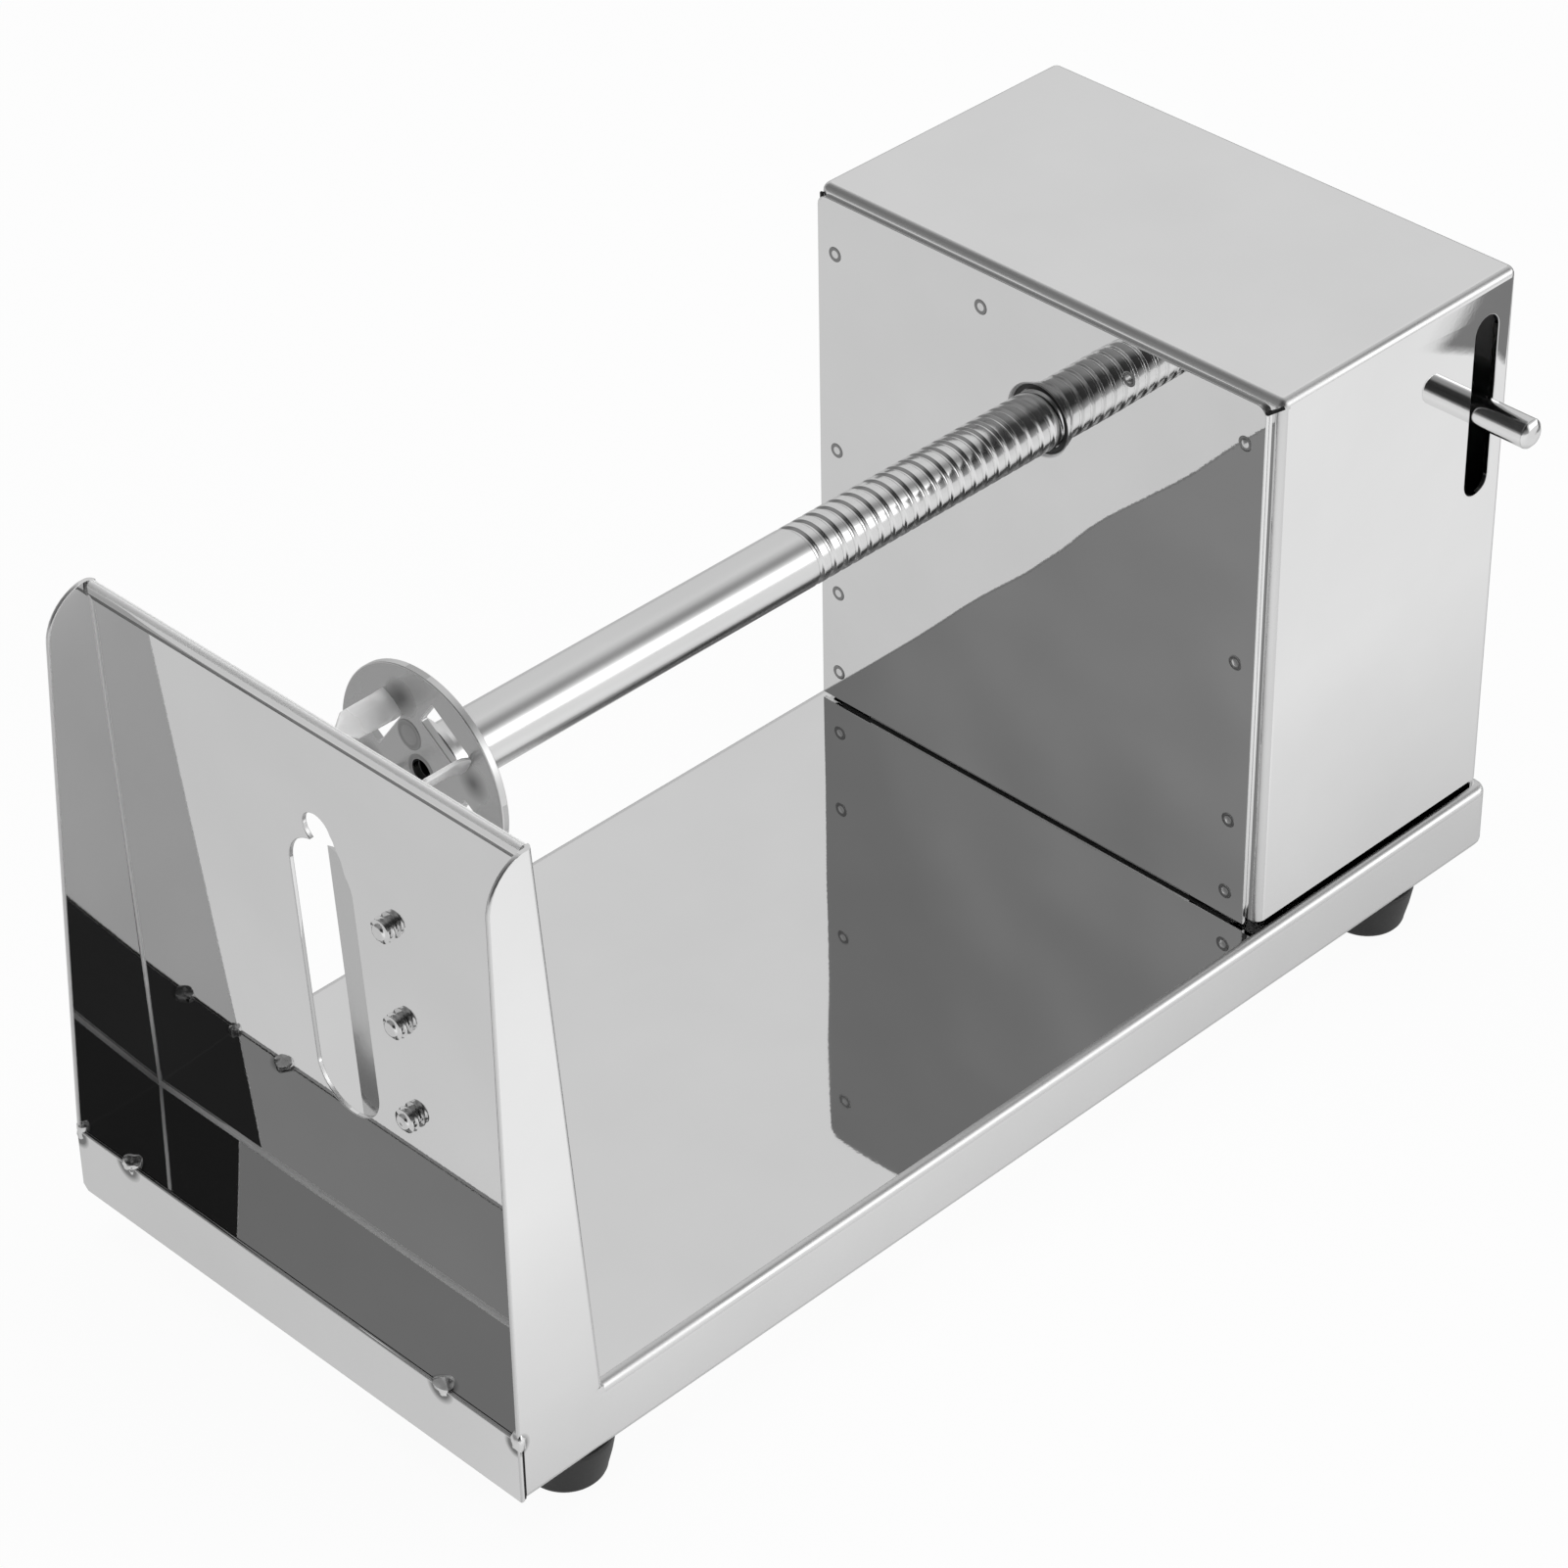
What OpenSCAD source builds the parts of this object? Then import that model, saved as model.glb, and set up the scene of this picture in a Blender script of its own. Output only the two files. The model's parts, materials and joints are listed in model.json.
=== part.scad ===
// Hand cranked cutter that turns a potato past a blade and makes one long spiral.
// The origin is the middle of the skewer hole in the pronged disc, at the disc's front face.
// X runs along the shaft from the blade plate to the crank, Y is across and Z is up.

/* [Base] */
// Length of the base
base_l = 343.5; // [335:0.5:380]
// Width of the base
base_w = 156; // [150:1:170]
// Height of the base, from the bottom of its skirt to its top
skirt_h = 18.8; // [15:0.2:24]
// Thickness of the steel sheet
sheet_t = 1.2; // [1:0.1:1.4]
// Radius outside the sheet's bends
bend_r = 2.5; // [2:0.1:3.5]
// Width of the flange turned in under the skirt
base_flange_w = 21; // [20:0.5:24]
// Height of the shaft above the base
axis_h = 118.7; // [112:0.1:130]

/* [Blade plate] */
// Distance from the base's front edge to the foot of the blade plate
plate_x = 25.1; // [22:0.1:30]
// Height of the blade plate
plate_h = 153; // [146:0.5:165]
// Lean of the blade plate to the front, in degrees
plate_lean = 2.9; // [0:0.1:5]
// Lean of the side wings inwards, in degrees
wing_lean = 1.87; // [0.5:0.01:3]
// Run back of a wing's front edge from its foot to its top
wing_run = 5; // [0:0.5:8]
// Radius of a wing's upper front corner
wing_r = 12; // [8:0.5:13]
// Height of the hem folded over at the top of the plate
hem_h = 5; // [3:0.5:8]
// Width of the slot that the slice comes through
slot_w = 21; // [18:0.5:24]
// Height of the slot's top above the foot of the plate
slot_top = 114; // [110:0.5:115]
// Height of the slot's round bottom above the foot of the plate
slot_bottom = 35.7; // [30:0.1:45]
// Diameter of the skewer hole in the plate
plate_hole_d = 9.4; // [8:0.1:10]
// Pitch of the blade's three screws
blade_pitch = 27.8; // [24:0.1:28]
// Diameter of the blade's screws
blade_screw_d = 5.6; // [4:0.1:6]

/* [Shaft] */
// Outside diameter of the shaft
shaft_d = 16; // [15:0.1:16.5]
// Bore of the shaft
shaft_bore = 11; // [9:0.5:12]
// Pitch of the thread
thread_pitch = 4; // [3:0.5:5]
// Depth of the thread's groove
thread_depth = 0.75; // [0.5:0.05:0.9]
// Distance from the disc's face to the start of the thread
thread_start = 120; // [100:1:130]

/* [Disc] */
// Distance from the base's front edge to the disc's face
disc_x = 50; // [46:0.5:60]
// Diameter of the disc
disc_d = 53.5; // [50:0.5:60]
// Thickness of the disc
disc_t = 2; // [1.5:0.1:2.5]
// Bore for the skewer
skewer_d = 6; // [4:0.1:7]
// Number of prongs
prong_n = 4; // [3:1:4]
// Length of a prong in front of the disc
prong_l = 16; // [12:0.5:18]
// Width of a prong
prong_w = 7.5; // [6:0.1:8]

/* [Casing] */
// Distance from the base's front edge to the casing
case_x = 252.2; // [248:0.1:256]
// Length of the casing
case_l = 89.8; // [86:0.1:90]
// Width of the casing
case_w = 151.6; // [146:0.1:154]
// Height of the casing, measured from the base
case_h = 155.4; // [150:0.1:165]
// Gap between the casing's walls and the base
case_gap = 2.6; // [1.5:0.1:4]
// Width of the casing's inner flanges
case_flange_w = 12; // [10:0.5:15]
// Distance of a panel's edges inside the casing's sides
panel_gap = 2.3; // [1.8:0.1:5.8]
// Length of the slot for the release pin
pin_slot_l = 51.5; // [46:0.5:54]
// Thickness of the bearing plates
bearing_t = 3; // [2:0.1:4]

/* [Release] */
// Diameter of the release pin
pin_d = 8; // [6:0.1:8]
// Length of the release pin outside the casing
pin_out = 16.5; // [12:0.5:25]
// Distance of the yoke's pivot inside the casing's far side
pivot_in = 23.8; // [18:0.2:29]
// Diameter of the pivot pin
pivot_d = 8; // [6:0.1:9]
// Thickness of the yoke
yoke_t = 9; // [8:0.1:9.4]
// Distance of the release pin from the back of the casing
pin_inset = 12; // [11.7:0.1:14]

/* [Crank] */
// Distance from the shaft to the grip's spindle
crank_r = 80; // [60:1:90]
// Turn of the crank from hanging straight down, in degrees
crank_turn = 19.3; // [0:0.1:40]
// Length of the grip
grip_l = 80; // [60:1:90]
// Diameter of the grip
grip_d = 25; // [22:0.5:30]
// Diameter of the grip's spindle
spindle_d = 8; // [6:0.1:9]

/* [Feet] */
// Height of a rubber foot
foot_h = 13; // [10:0.5:20]
// Diameter of a foot at the top
foot_top_d = 24; // [22:0.5:24]
// Diameter of a foot at the bottom
foot_bottom_d = 20; // [18:0.5:22]
// Distance of the front feet's middles from the base's front edge
foot_front_x = 24; // [20:0.5:40]
// Distance of the back feet's middles from the base's back edge
foot_back_x = 33.5; // [20:0.5:45]

/* [Hidden] */
$fn = 48;
// Overrun of every cut
over = 1;

// Places of the base
x_front = -disc_x;
x_rear = x_front + base_l;
z_base = -axis_h;
z_skirt = z_base - skirt_h;
z_floor = z_skirt - foot_h;
half_w = base_w / 2;
// Gap of the seam at the corners of the front lip
seam = 0.4;
// Depth below the base's top at which the wings leave the skirt
wing_root_gap = 1.5;
wing_root = bend_r + wing_root_gap;
weld_r = 2.2;
weld_sink = 1;
// Places of the beads on the lip as shares of the base's half width
lip_weld_shares = [0.75, -0.67];

// Places of the plate
plate_foot_x = x_front + plate_x;
plate_fit = 0.1;
s_axis = axis_h / cos(plate_lean);
slot_y = 0.8;
slot_corner_r = 4;
neck_left = 2.4;
neck_right = -5.2;
blade_y = -21.4;
blade_screw_up = 12.1;
blade_s0 = slot_bottom + blade_screw_up;
blade_root_y = -29;
blade_bend_y = -12;
blade_edge_x = 3.5;
blade_t = 1.2;
blade_bevel = 3;
blade_low_gap = 2.2;
blade_low = slot_bottom - blade_low_gap;
blade_high_gap = 0.7;
blade_high = slot_top - blade_high_gap;
blade_hole_clear = 0.3;
screw_out = 3.8;
screw_crest = 0.35;
screw_pitch = 1.27;
screw_head_d = 10;
screw_head_h = 2.4;

// Places of the casing
case_x0 = x_front + case_x;
case_x1 = case_x0 + case_l;
case_z1 = z_base + case_h;
case_z0 = z_base + case_gap;
panel_w = case_w - 2 * panel_gap;
panel_shift = 1.8;
panel_top_gap = 2.6;
panel_corner_r = 3;
panel_foot_w = 112;
panel_foot_l = 18;
panel_hole_gap = 1.4;
panel_hole_d = shaft_d + 2 * panel_hole_gap;
spot_d = 3.6;
spot_h = 0.15;
spot_groove = 0.5;
spot_edge = 6;
// Places of the spots as shares of the height from the base to the top of the panel
spot_left_shares = [0.9, 0.52, 0.23, 0.065];
spot_right_shares = [0.92, 0.51, 0.2, 0.055];
// Places of the spots along the top as shares of the panel's width
spot_top_shares = [0.62, 0.29];
spot_top_inset = 10;
bearing_gap = 3;
bearing_half_w = case_w / 2 - bearing_gap;
bearing_up = 31;
bearing_down = 50;
bush_fit = 0.05;
bush_wall = 2;
bush_r = shaft_d / 2 + bush_wall;
bush_rim = 4.5;
bush_flange_r = shaft_d / 2 + bush_rim;
bush_play = 0.1;
shaft_fit = 0.08;
bush_inner_l = 8;
bush_tail_l = 3;
bush_tail_gap = 0.2;
front_plate_x = case_x0 + 2 * sheet_t;
rear_plate_x = case_x1 - 2 * sheet_t - bearing_t;
case_screw_y = 45;
case_screw_d = 5;
case_screw_x = 9;
case_nut_d = 8;
case_nut_h = 4;
case_head_h = 2.5;
case_head_d = 9;
hole_clear = 0.2;

// Places of the release
pin_x = case_x1 - pin_inset;
pin_slot_gap = 0.5;
pin_slot_w = pin_d + 2 * pin_slot_gap;
pin_slot_z = 1.35;
pin_root_y = -18;
pin_boss_l = 16;
pin_boss_wall = 2.2;
pin_boss_r = pin_d / 2 + pin_boss_wall;
pin_end_r = 2;
yoke_x0 = pin_x - yoke_t / 2;
yoke_x1 = pin_x + yoke_t / 2;
yoke_low_z = -28;
yoke_lug_z = 8;
pivot_y = case_w / 2 - pivot_in;
pivot_eye_wall = 5;
pivot_eye_r = pivot_d / 2 + pivot_eye_wall;
pivot_fit = 0.05;
pivot_gap = 0.3;
pivot_clip_t = 1.2;
pivot_rim = 3;
nut_seat_z = -17;
nut_top_z = -5;
nut_half_w = 11;
nut_front = 6;
nut_x0 = yoke_x0 - nut_front;
nut_back = 1.5;
nut_x1 = yoke_x1 + nut_back;
nut_clear = 0.25;
nut_tooth_w = 0.8;
nut_tooth_in = 0.35;
nut_screw_d = 4;
nut_screw_y = 6;
nut_screw_up = 5;
nut_head_h = 2.5;
nut_head_d = 7;
stud_y = pin_root_y - pin_boss_l / 2;
stud_z = 26;
stud_r = 2.5;
spring_wire_d = 1;
spring_r = 3.2;
spring_curls = 7;
spring_rings = 8;
spring_sides = 6;

// Places of the shaft
flange_t = 1.5;
flange_r = 12.4;
shaft_x0 = disc_t + flange_t;
shaft_out = 24;
shaft_x1 = case_x1 + shaft_out;
thread_sides = 24;
thread_end = case_x1;
thread_run = 12;
groove_share = 0.4;
groove_floor_share = 0.22;
rivet_head_r = 3.5;
rivet_head_h = 0.8;
rivet_r = 2;
rivet_place_r = 9;
rivet_turn = 68;
prong_turn = 36;
prong_near = 12;
prong_root = 6.5;
prong_t = 2;
prong_tip = 4;
window_l = 14.2;
// Half width of a prong's point as a share of its width
prong_tip_share = 0.12;

// Places of the crank
hub_gap = 0.5;
hub_x0 = case_x1 + bush_tail_l + hub_gap;
hub_l = 18;
hub_r = 14;
arm_t = 5;
hub_lip = 1;
arm_x0 = hub_x0 + hub_l - arm_t - hub_lip;
arm_half_w = 9;
arm_eye_r = 11;
crank_screw_d = 6;
crank_screw_x = 6.5;
spindle_collar_d = 14;
spindle_collar_l = 2;
spindle_head_d = 14;
spindle_head_h = 3;
spindle_nut_d = 13;
spindle_nut_h = 6;
grip_gap = 0.3;
grip_fit = 0.1;
grip_x0 = arm_x0 + arm_t + spindle_collar_l + grip_gap;
grip_x1 = grip_x0 + grip_l;
grip_waist = 1.5;
grip_edge_r = 3;
washer_t = 1;
washer_d = 16;

// Places of the feet
foot_y = half_w - foot_top_d / 2;
foot_xs = [x_front + foot_front_x, x_rear - foot_back_x];
foot_round = 2.5;
foot_screw_d = 5;
foot_recess_d = 11;
foot_recess_h = 5;
foot_head_d = 9.5;
foot_head_h = 3;
foot_nut_h = 4;
foot_nut_d = 8;

// A flat shape in Y and Z, drawn as the first and second coordinate, with its thickness along X.
module along_x(x0, x1) {
    translate([x0, 0, 0]) rotate([90, 0, 90]) linear_extrude(x1 - x0) children();
}

// A round bar along X.
module bar_x(r, x0, x1) {
    translate([x0, 0, 0]) rotate([0, 90, 0]) cylinder(r = r, h = x1 - x0);
}

// A rectangle with its two upper corners rounded.
module top_round(w, z0, z1, r) {
    translate([-w / 2, z0]) square([w, z1 - z0 - r]);
    translate([-w / 2 + r, z0]) square([w - 2 * r, z1 - z0]);
    for (side = [-1, 1]) translate([side * (w / 2 - r), z1 - r]) circle(r = r);
}

// A rectangle with four rounded corners.
module all_round(x0, x1, w, r) {
    translate([x0 + r, -w / 2]) square([x1 - x0 - 2 * r, w]);
    translate([x0, -w / 2 + r]) square([x1 - x0, w - 2 * r]);
    for (x = [x0 + r, x1 - r], side = [-1, 1]) translate([x, side * (w / 2 - r)]) circle(r = r);
}

// Puts its children in the leaning frame of the plate: X through it, Y across, Z up along it.
module on_plate() {
    translate([plate_foot_x, 0, z_base]) rotate([0, -plate_lean, 0]) children();
}

module steel() { color([0.78, 0.78, 0.79]) children(); }
module dark_steel() { color([0.55, 0.56, 0.58]) children(); }
module polymer() { color([0.12, 0.12, 0.13]) children(); }

// The outline of a wing, with X along the base and Z up from where it leaves the skirt.
module wing_outline() {
    wing_h = wing_root + plate_h * cos(plate_lean);
    fold_top = plate_x - plate_h * sin(plate_lean);
    run = wing_run * (wing_h - wing_r) / wing_h;
    polygon(concat([[0, 0], [plate_x, 0], [plate_x, wing_root], [fold_top + sheet_t, wing_h]],
        [for (a = [0 : 10 : 90]) [run + wing_r - wing_r * sin(a), wing_h - wing_r + wing_r * cos(a)]]));
}

module wing(side) {
    translate([x_front, side * half_w, z_base - wing_root])
        rotate([side * wing_lean, 0, 0])
            translate([0, side > 0 ? 0 : sheet_t, 0]) rotate([90, 0, 0])
                linear_extrude(sheet_t) wing_outline();
}

// The folded base: top sheet, side skirts with their flanges, back skirt and the two wings.
module base_tray() {
    foot_hole = foot_screw_d + 2 * hole_clear;
    case_hole = case_screw_d + 2 * hole_clear;
    steel() difference() {
        union() {
            difference() {
                intersection() {
                    along_x(x_front, x_rear) top_round(base_w, z_skirt, z_base, bend_r);
                    translate([0, 0, z_skirt]) linear_extrude(skirt_h)
                        all_round(x_front - 2 * bend_r, x_rear, base_w, bend_r);
                }
                along_x(x_front - over, x_rear - sheet_t)
                    top_round(base_w - 2 * sheet_t, z_skirt + sheet_t, z_base - sheet_t, bend_r - sheet_t);
                along_x(x_front - over, x_rear - sheet_t)
                    translate([-half_w + base_flange_w, z_skirt - over])
                        square([base_w - 2 * base_flange_w, sheet_t + 2 * over]);
                translate([x_front - over, -half_w + sheet_t, z_skirt - over])
                    cube([over + sheet_t, base_w - 2 * sheet_t, skirt_h + 2 * over]);
            }
            for (side = [-1, 1]) wing(side);
        }
        for (x = foot_xs, side = [-1, 1])
            translate([x, side * foot_y, z_skirt - over]) cylinder(d = foot_hole, h = sheet_t + 2 * over);
        for (x = [case_x0 + case_screw_x, case_x1 - case_screw_x], side = [-1, 1])
            translate([x, side * case_screw_y, z_base - sheet_t - over])
                cylinder(d = case_hole, h = sheet_t + 2 * over);
    }
}

module front_lip() {
    steel() translate([x_front, -half_w + sheet_t + seam, z_skirt])
        cube([sheet_t, base_w - 2 * sheet_t - 2 * seam, skirt_h]);
}

// Beads where the lip's ends meet the skirts.
module corner_welds() {
    dark_steel() for (side = [-1, 1]) difference() {
        translate([x_front + weld_sink, side * (half_w - weld_sink), z_base - wing_root])
            sphere(r = weld_r);
        translate([x_front, -half_w, z_skirt]) cube([base_l, base_w, skirt_h + plate_h]);
    }
}

// Beads on the edge between the lip and the floor.
module lip_welds() {
    dark_steel() for (share = lip_weld_shares) difference() {
        translate([x_front + weld_sink, share * half_w, z_base - weld_sink]) sphere(r = weld_r);
        translate([x_front, -half_w, z_skirt]) cube([base_l, base_w, skirt_h]);
    }
}

module slot_shape() {
    r = slot_w / 2;
    translate([slot_y, slot_bottom + r]) circle(r = r);
    translate([slot_y - r, slot_bottom + r])
        square([slot_w, slot_top - slot_corner_r - slot_bottom - r]);
    translate([slot_y - r + slot_corner_r, slot_top - 2 * slot_corner_r])
        square([slot_w - 2 * slot_corner_r, 2 * slot_corner_r]);
    for (side = [-1, 1])
        translate([slot_y + side * (r - slot_corner_r), slot_top - slot_corner_r]) circle(r = slot_corner_r);
    translate([neck_right, slot_top - slot_corner_r])
        square([neck_left - neck_right, s_axis - slot_top + slot_corner_r]);
}

module plate_holes(d) {
    for (k = [0 : 2]) translate([-over, blade_y, blade_s0 + k * blade_pitch])
        rotate([0, 90, 0]) cylinder(d = d, h = blade_edge_x + 2 * over);
}

module blade_plate() {
    foot_half = half_w - (sheet_t + plate_fit + wing_root * tan(wing_lean));
    head_half = foot_half - plate_h * tan(wing_lean);
    steel() on_plate() difference() {
        union() {
            along_x(0, sheet_t) polygon([[-foot_half, 0], [foot_half, 0],
                [head_half, plate_h - sheet_t], [-head_half, plate_h - sheet_t]]);
            translate([-sheet_t, -head_half, plate_h - hem_h])
                cube([sheet_t, 2 * head_half, hem_h - sheet_t]);
            translate([0, -head_half, plate_h - sheet_t]) rotate([-90, 0, 0])
                cylinder(r = sheet_t, h = 2 * head_half);
        }
        along_x(-over, sheet_t + over) slot_shape();
        translate([-over, 0, s_axis]) rotate([0, 90, 0]) cylinder(d = plate_hole_d, h = sheet_t + 2 * over);
        plate_holes(blade_screw_d);
        // Level foot on the base
        rotate([0, plate_lean, 0]) translate([-half_w, -half_w, -base_w]) cube([base_w, base_w, base_w]);
    }
}

// The blade stands off the plate on the potato's side, with its edge on the radius below the shaft.
module slicing_blade() {
    dark_steel() on_plate() difference() {
        translate([0, 0, blade_low]) linear_extrude(blade_high - blade_low)
            polygon([[sheet_t, blade_root_y], [sheet_t + blade_t, blade_root_y],
                [sheet_t + blade_t, blade_bend_y], [blade_edge_x + blade_t / 3, -blade_bevel],
                [blade_edge_x, 0], [sheet_t, blade_bend_y]]);
        plate_holes(blade_screw_d + 2 * blade_hole_clear);
    }
}

// One screw along X: head on the potato's side, threaded end out in front of the plate.
module blade_screw() {
    r = blade_screw_d / 2;
    x1 = sheet_t + blade_t;
    rotate([0, 90, 0]) {
        cylinder(r = r, h = x1);
        rotate_extrude() polygon(concat([[0, 0], [r, 0]],
            [for (k = [0.4 : 2.4])
                each [[r - screw_crest, -screw_pitch * k], [r, -screw_pitch * (k + 0.5)]]],
            [[r - screw_crest, -screw_out], [0, -screw_out]]));
        translate([0, 0, x1]) rotate_extrude() polygon([[0, 0], [screw_head_d / 2, 0],
            [screw_head_d / 2, screw_head_h * 0.4], [screw_head_d * 0.36, screw_head_h], [0, screw_head_h]]);
    }
}

module blade_screws() {
    dark_steel() on_plate()
        for (k = [0 : 2]) translate([0, blade_y, blade_s0 + k * blade_pitch]) blade_screw();
}

// The casing's block with rounded edges, smaller by a given amount on each side.
module case_block(inset, r) {
    x0 = case_x0 + sheet_t + inset;
    x1 = case_x1 - sheet_t - inset;
    w = case_w - 2 * inset;
    z1 = case_z1 - inset;
    z0 = inset > 0 ? case_z0 - over : case_z0;
    intersection() {
        along_x(x0, x1) top_round(w, z0, z1, r);
        translate([0, 0, z0]) linear_extrude(z1 - z0) all_round(x0, x1, w, r);
        translate([0, w / 2, 0]) rotate([90, 0, 0]) linear_extrude(w)
            translate([(x0 + x1) / 2, 0]) top_round(x1 - x0, z0, z1, r);
    }
}

module casing_wrap() {
    win_w = case_w - 2 * case_flange_w;
    slot_half = (pin_slot_l - pin_slot_w) / 2;
    steel() difference() {
        case_block(0, bend_r);
        case_block(sheet_t, bend_r - sheet_t);
        translate([case_x0 - over, -win_w / 2, z_base])
            cube([case_l + 2 * over, win_w, case_h - case_flange_w]);
        translate([pin_x, 0, pin_slot_z]) rotate([90, 0, 0]) {
            for (side = [-1, 1]) translate([0, side * slot_half, 0]) cylinder(d = pin_slot_w, h = case_w);
            translate([-pin_slot_w / 2, -slot_half, 0]) cube([pin_slot_w, 2 * slot_half, case_w]);
        }
    }
}

// A panel on its flanges, its foot turned in over the base. It is drawn at the front.
module panel(shift) {
    y0 = shift - panel_w / 2;
    z1 = case_z1 - panel_top_gap;
    difference() {
        union() {
            translate([0, shift, 0]) along_x(0, sheet_t) top_round(panel_w, case_z0, z1, panel_corner_r);
            translate([0, shift - panel_foot_w / 2, z_base + sheet_t])
                cube([sheet_t, panel_foot_w, case_gap]);
            translate([sheet_t, shift - panel_foot_w / 2, z_base + sheet_t]) rotate([-90, 0, 0])
                cylinder(r = sheet_t, h = panel_foot_w);
            translate([sheet_t, shift - panel_foot_w / 2, z_base])
                cube([panel_foot_l - sheet_t, panel_foot_w, sheet_t]);
        }
        bar_x(panel_hole_d / 2, -over, sheet_t + over);
        for (side = [-1, 1]) translate([case_screw_x, side * case_screw_y, z_base - over])
            cylinder(d = case_screw_d + 2 * hole_clear, h = sheet_t + 2 * over);
    }
}

module front_panel() { steel() translate([case_x0, 0, 0]) panel(panel_shift); }

module back_panel() { steel() translate([case_x1, 0, 0]) mirror([1, 0, 0]) panel(0); }

// A weld spot: a low disc with a groove round it, facing front.
module spot() {
    rotate([0, -90, 0]) rotate_extrude() polygon([[0, 0], [spot_d / 2, 0], [spot_d / 2, spot_h],
        [spot_d / 2 - spot_groove / 2, spot_h], [spot_d / 2 - spot_groove, spot_h / 3],
        [spot_d / 2 - spot_groove * 1.5, spot_h], [0, spot_h]]);
}

module panel_spots(shift) {
    span = case_z1 - panel_top_gap - z_base;
    for (share = spot_left_shares)
        translate([0, shift + panel_w / 2 - spot_edge, z_base + share * span]) spot();
    for (share = spot_right_shares)
        translate([0, shift - panel_w / 2 + spot_edge, z_base + share * span]) spot();
    for (share = spot_top_shares)
        translate([0, shift + (share - 0.5) * panel_w, z_base + span - spot_top_inset]) spot();
}

module front_spot_welds() { dark_steel() translate([case_x0, 0, 0]) panel_spots(panel_shift); }

module back_spot_welds() { dark_steel() translate([case_x1, 0, 0]) mirror([1, 0, 0]) panel_spots(0); }

module bearing_plate() {
    difference() {
        translate([0, -bearing_half_w, -bearing_down])
            cube([bearing_t, 2 * bearing_half_w, bearing_up + bearing_down]);
        bar_x(bush_r + bush_fit, -over, bearing_t + over);
    }
}

module front_bearing_plate() { dark_steel() translate([front_plate_x, 0, 0]) bearing_plate(); }

module rear_bearing_plate() {
    dark_steel() translate([rear_plate_x, 0, 0]) difference() {
        bearing_plate();
        translate([0, pivot_y, 0]) bar_x(pivot_d / 2, -over, bearing_t + over);
        translate([0, stud_y, stud_z]) bar_x(stud_r, -over, bearing_t + over);
    }
}

module at_case_screws() {
    for (x = [case_x0 + case_screw_x, case_x1 - case_screw_x], side = [-1, 1])
        translate([x, side * case_screw_y, z_base]) children();
}

module hex_nut(d, h, bore) {
    difference() {
        cylinder(d = d / cos(30), h = h, $fn = 6);
        translate([0, 0, -over]) cylinder(d = bore, h = h + 2 * over);
    }
}

module casing_screws() {
    dark_steel() at_case_screws() {
        translate([0, 0, -sheet_t]) cylinder(d = case_screw_d, h = 2 * sheet_t + case_nut_h + sheet_t);
        translate([0, 0, -sheet_t - case_head_h]) cylinder(d = case_head_d, h = case_head_h);
    }
}

module casing_nuts() {
    dark_steel() at_case_screws() translate([0, 0, sheet_t]) hex_nut(case_nut_d, case_nut_h, case_screw_d);
}

// The pivot pin stands on the rear bearing plate. Its shoulder keeps the yoke clear of the plate.
module pivot_pin() {
    dark_steel() translate([0, pivot_y, 0]) {
        bar_x(pivot_d / 2, yoke_x0 - pivot_gap - 2 * pivot_clip_t, rear_plate_x + bearing_t);
        bar_x(pivot_d / 2 + pivot_rim, yoke_x1 + pivot_gap, rear_plate_x);
    }
}

module pivot_clip() {
    x1 = yoke_x0 - pivot_gap;
    dark_steel() translate([0, pivot_y, 0]) difference() {
        bar_x(pivot_d / 2 + pivot_rim, x1 - pivot_clip_t, x1);
        bar_x(pivot_d / 2, x1 - pivot_clip_t - over, x1 + over);
    }
}

module spring_stud() {
    dark_steel() translate([0, stud_y, stud_z]) bar_x(stud_r, yoke_x0, rear_plate_x + bearing_t);
}

module at_feet() {
    for (x = foot_xs, side = [-1, 1]) translate([x, side * foot_y, z_floor]) children();
}

module rubber_feet() {
    r0 = foot_bottom_d / 2;
    r1 = foot_top_d / 2;
    polymer() at_feet() difference() {
        rotate_extrude() polygon(concat([[0, 0]],
            [for (a = [0 : 15 : 90]) [r0 - foot_round * (1 - sin(a)), foot_round * (1 - cos(a))]],
            [[r1, foot_h], [0, foot_h]]));
        translate([0, 0, -over]) cylinder(d = foot_recess_d, h = foot_recess_h + over);
        cylinder(d = foot_screw_d + 2 * hole_clear, h = foot_h + over);
    }
}

module foot_screws() {
    dark_steel() at_feet() {
        translate([0, 0, foot_recess_h - foot_head_h]) cylinder(d = foot_head_d, h = foot_head_h);
        translate([0, 0, foot_recess_h])
            cylinder(d = foot_screw_d, h = foot_h - foot_recess_h + 2 * sheet_t + foot_nut_h);
    }
}

module foot_nuts() {
    dark_steel() at_feet() translate([0, 0, foot_h + sheet_t]) hex_nut(foot_nut_d, foot_nut_h, foot_screw_d);
}

// A bush turns with the shaft. Its flange is trapped between a panel and a bearing plate.
module bush(inner_l) {
    difference() {
        union() {
            bar_x(bush_flange_r, bush_play, sheet_t - bush_play);
            bar_x(bush_r, bush_play, sheet_t + inner_l);
            bar_x(panel_hole_d / 2 - bush_tail_gap, -sheet_t / 3, sheet_t);
        }
        bar_x(shaft_d / 2 + shaft_fit, -sheet_t - over, sheet_t + inner_l + over);
    }
}

module front_bush() { polymer() translate([case_x0 + sheet_t, 0, 0]) bush(bush_inner_l); }

module rear_bush() {
    polymer() translate([case_x1 - sheet_t, 0, 0]) mirror([1, 0, 0]) {
        bush(bearing_t);
        difference() {
            bar_x(panel_hole_d / 2 - bush_tail_gap, -sheet_t - bush_tail_l, 0);
            bar_x(shaft_d / 2 + shaft_fit, -sheet_t - bush_tail_l - over, over);
        }
    }
}

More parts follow.
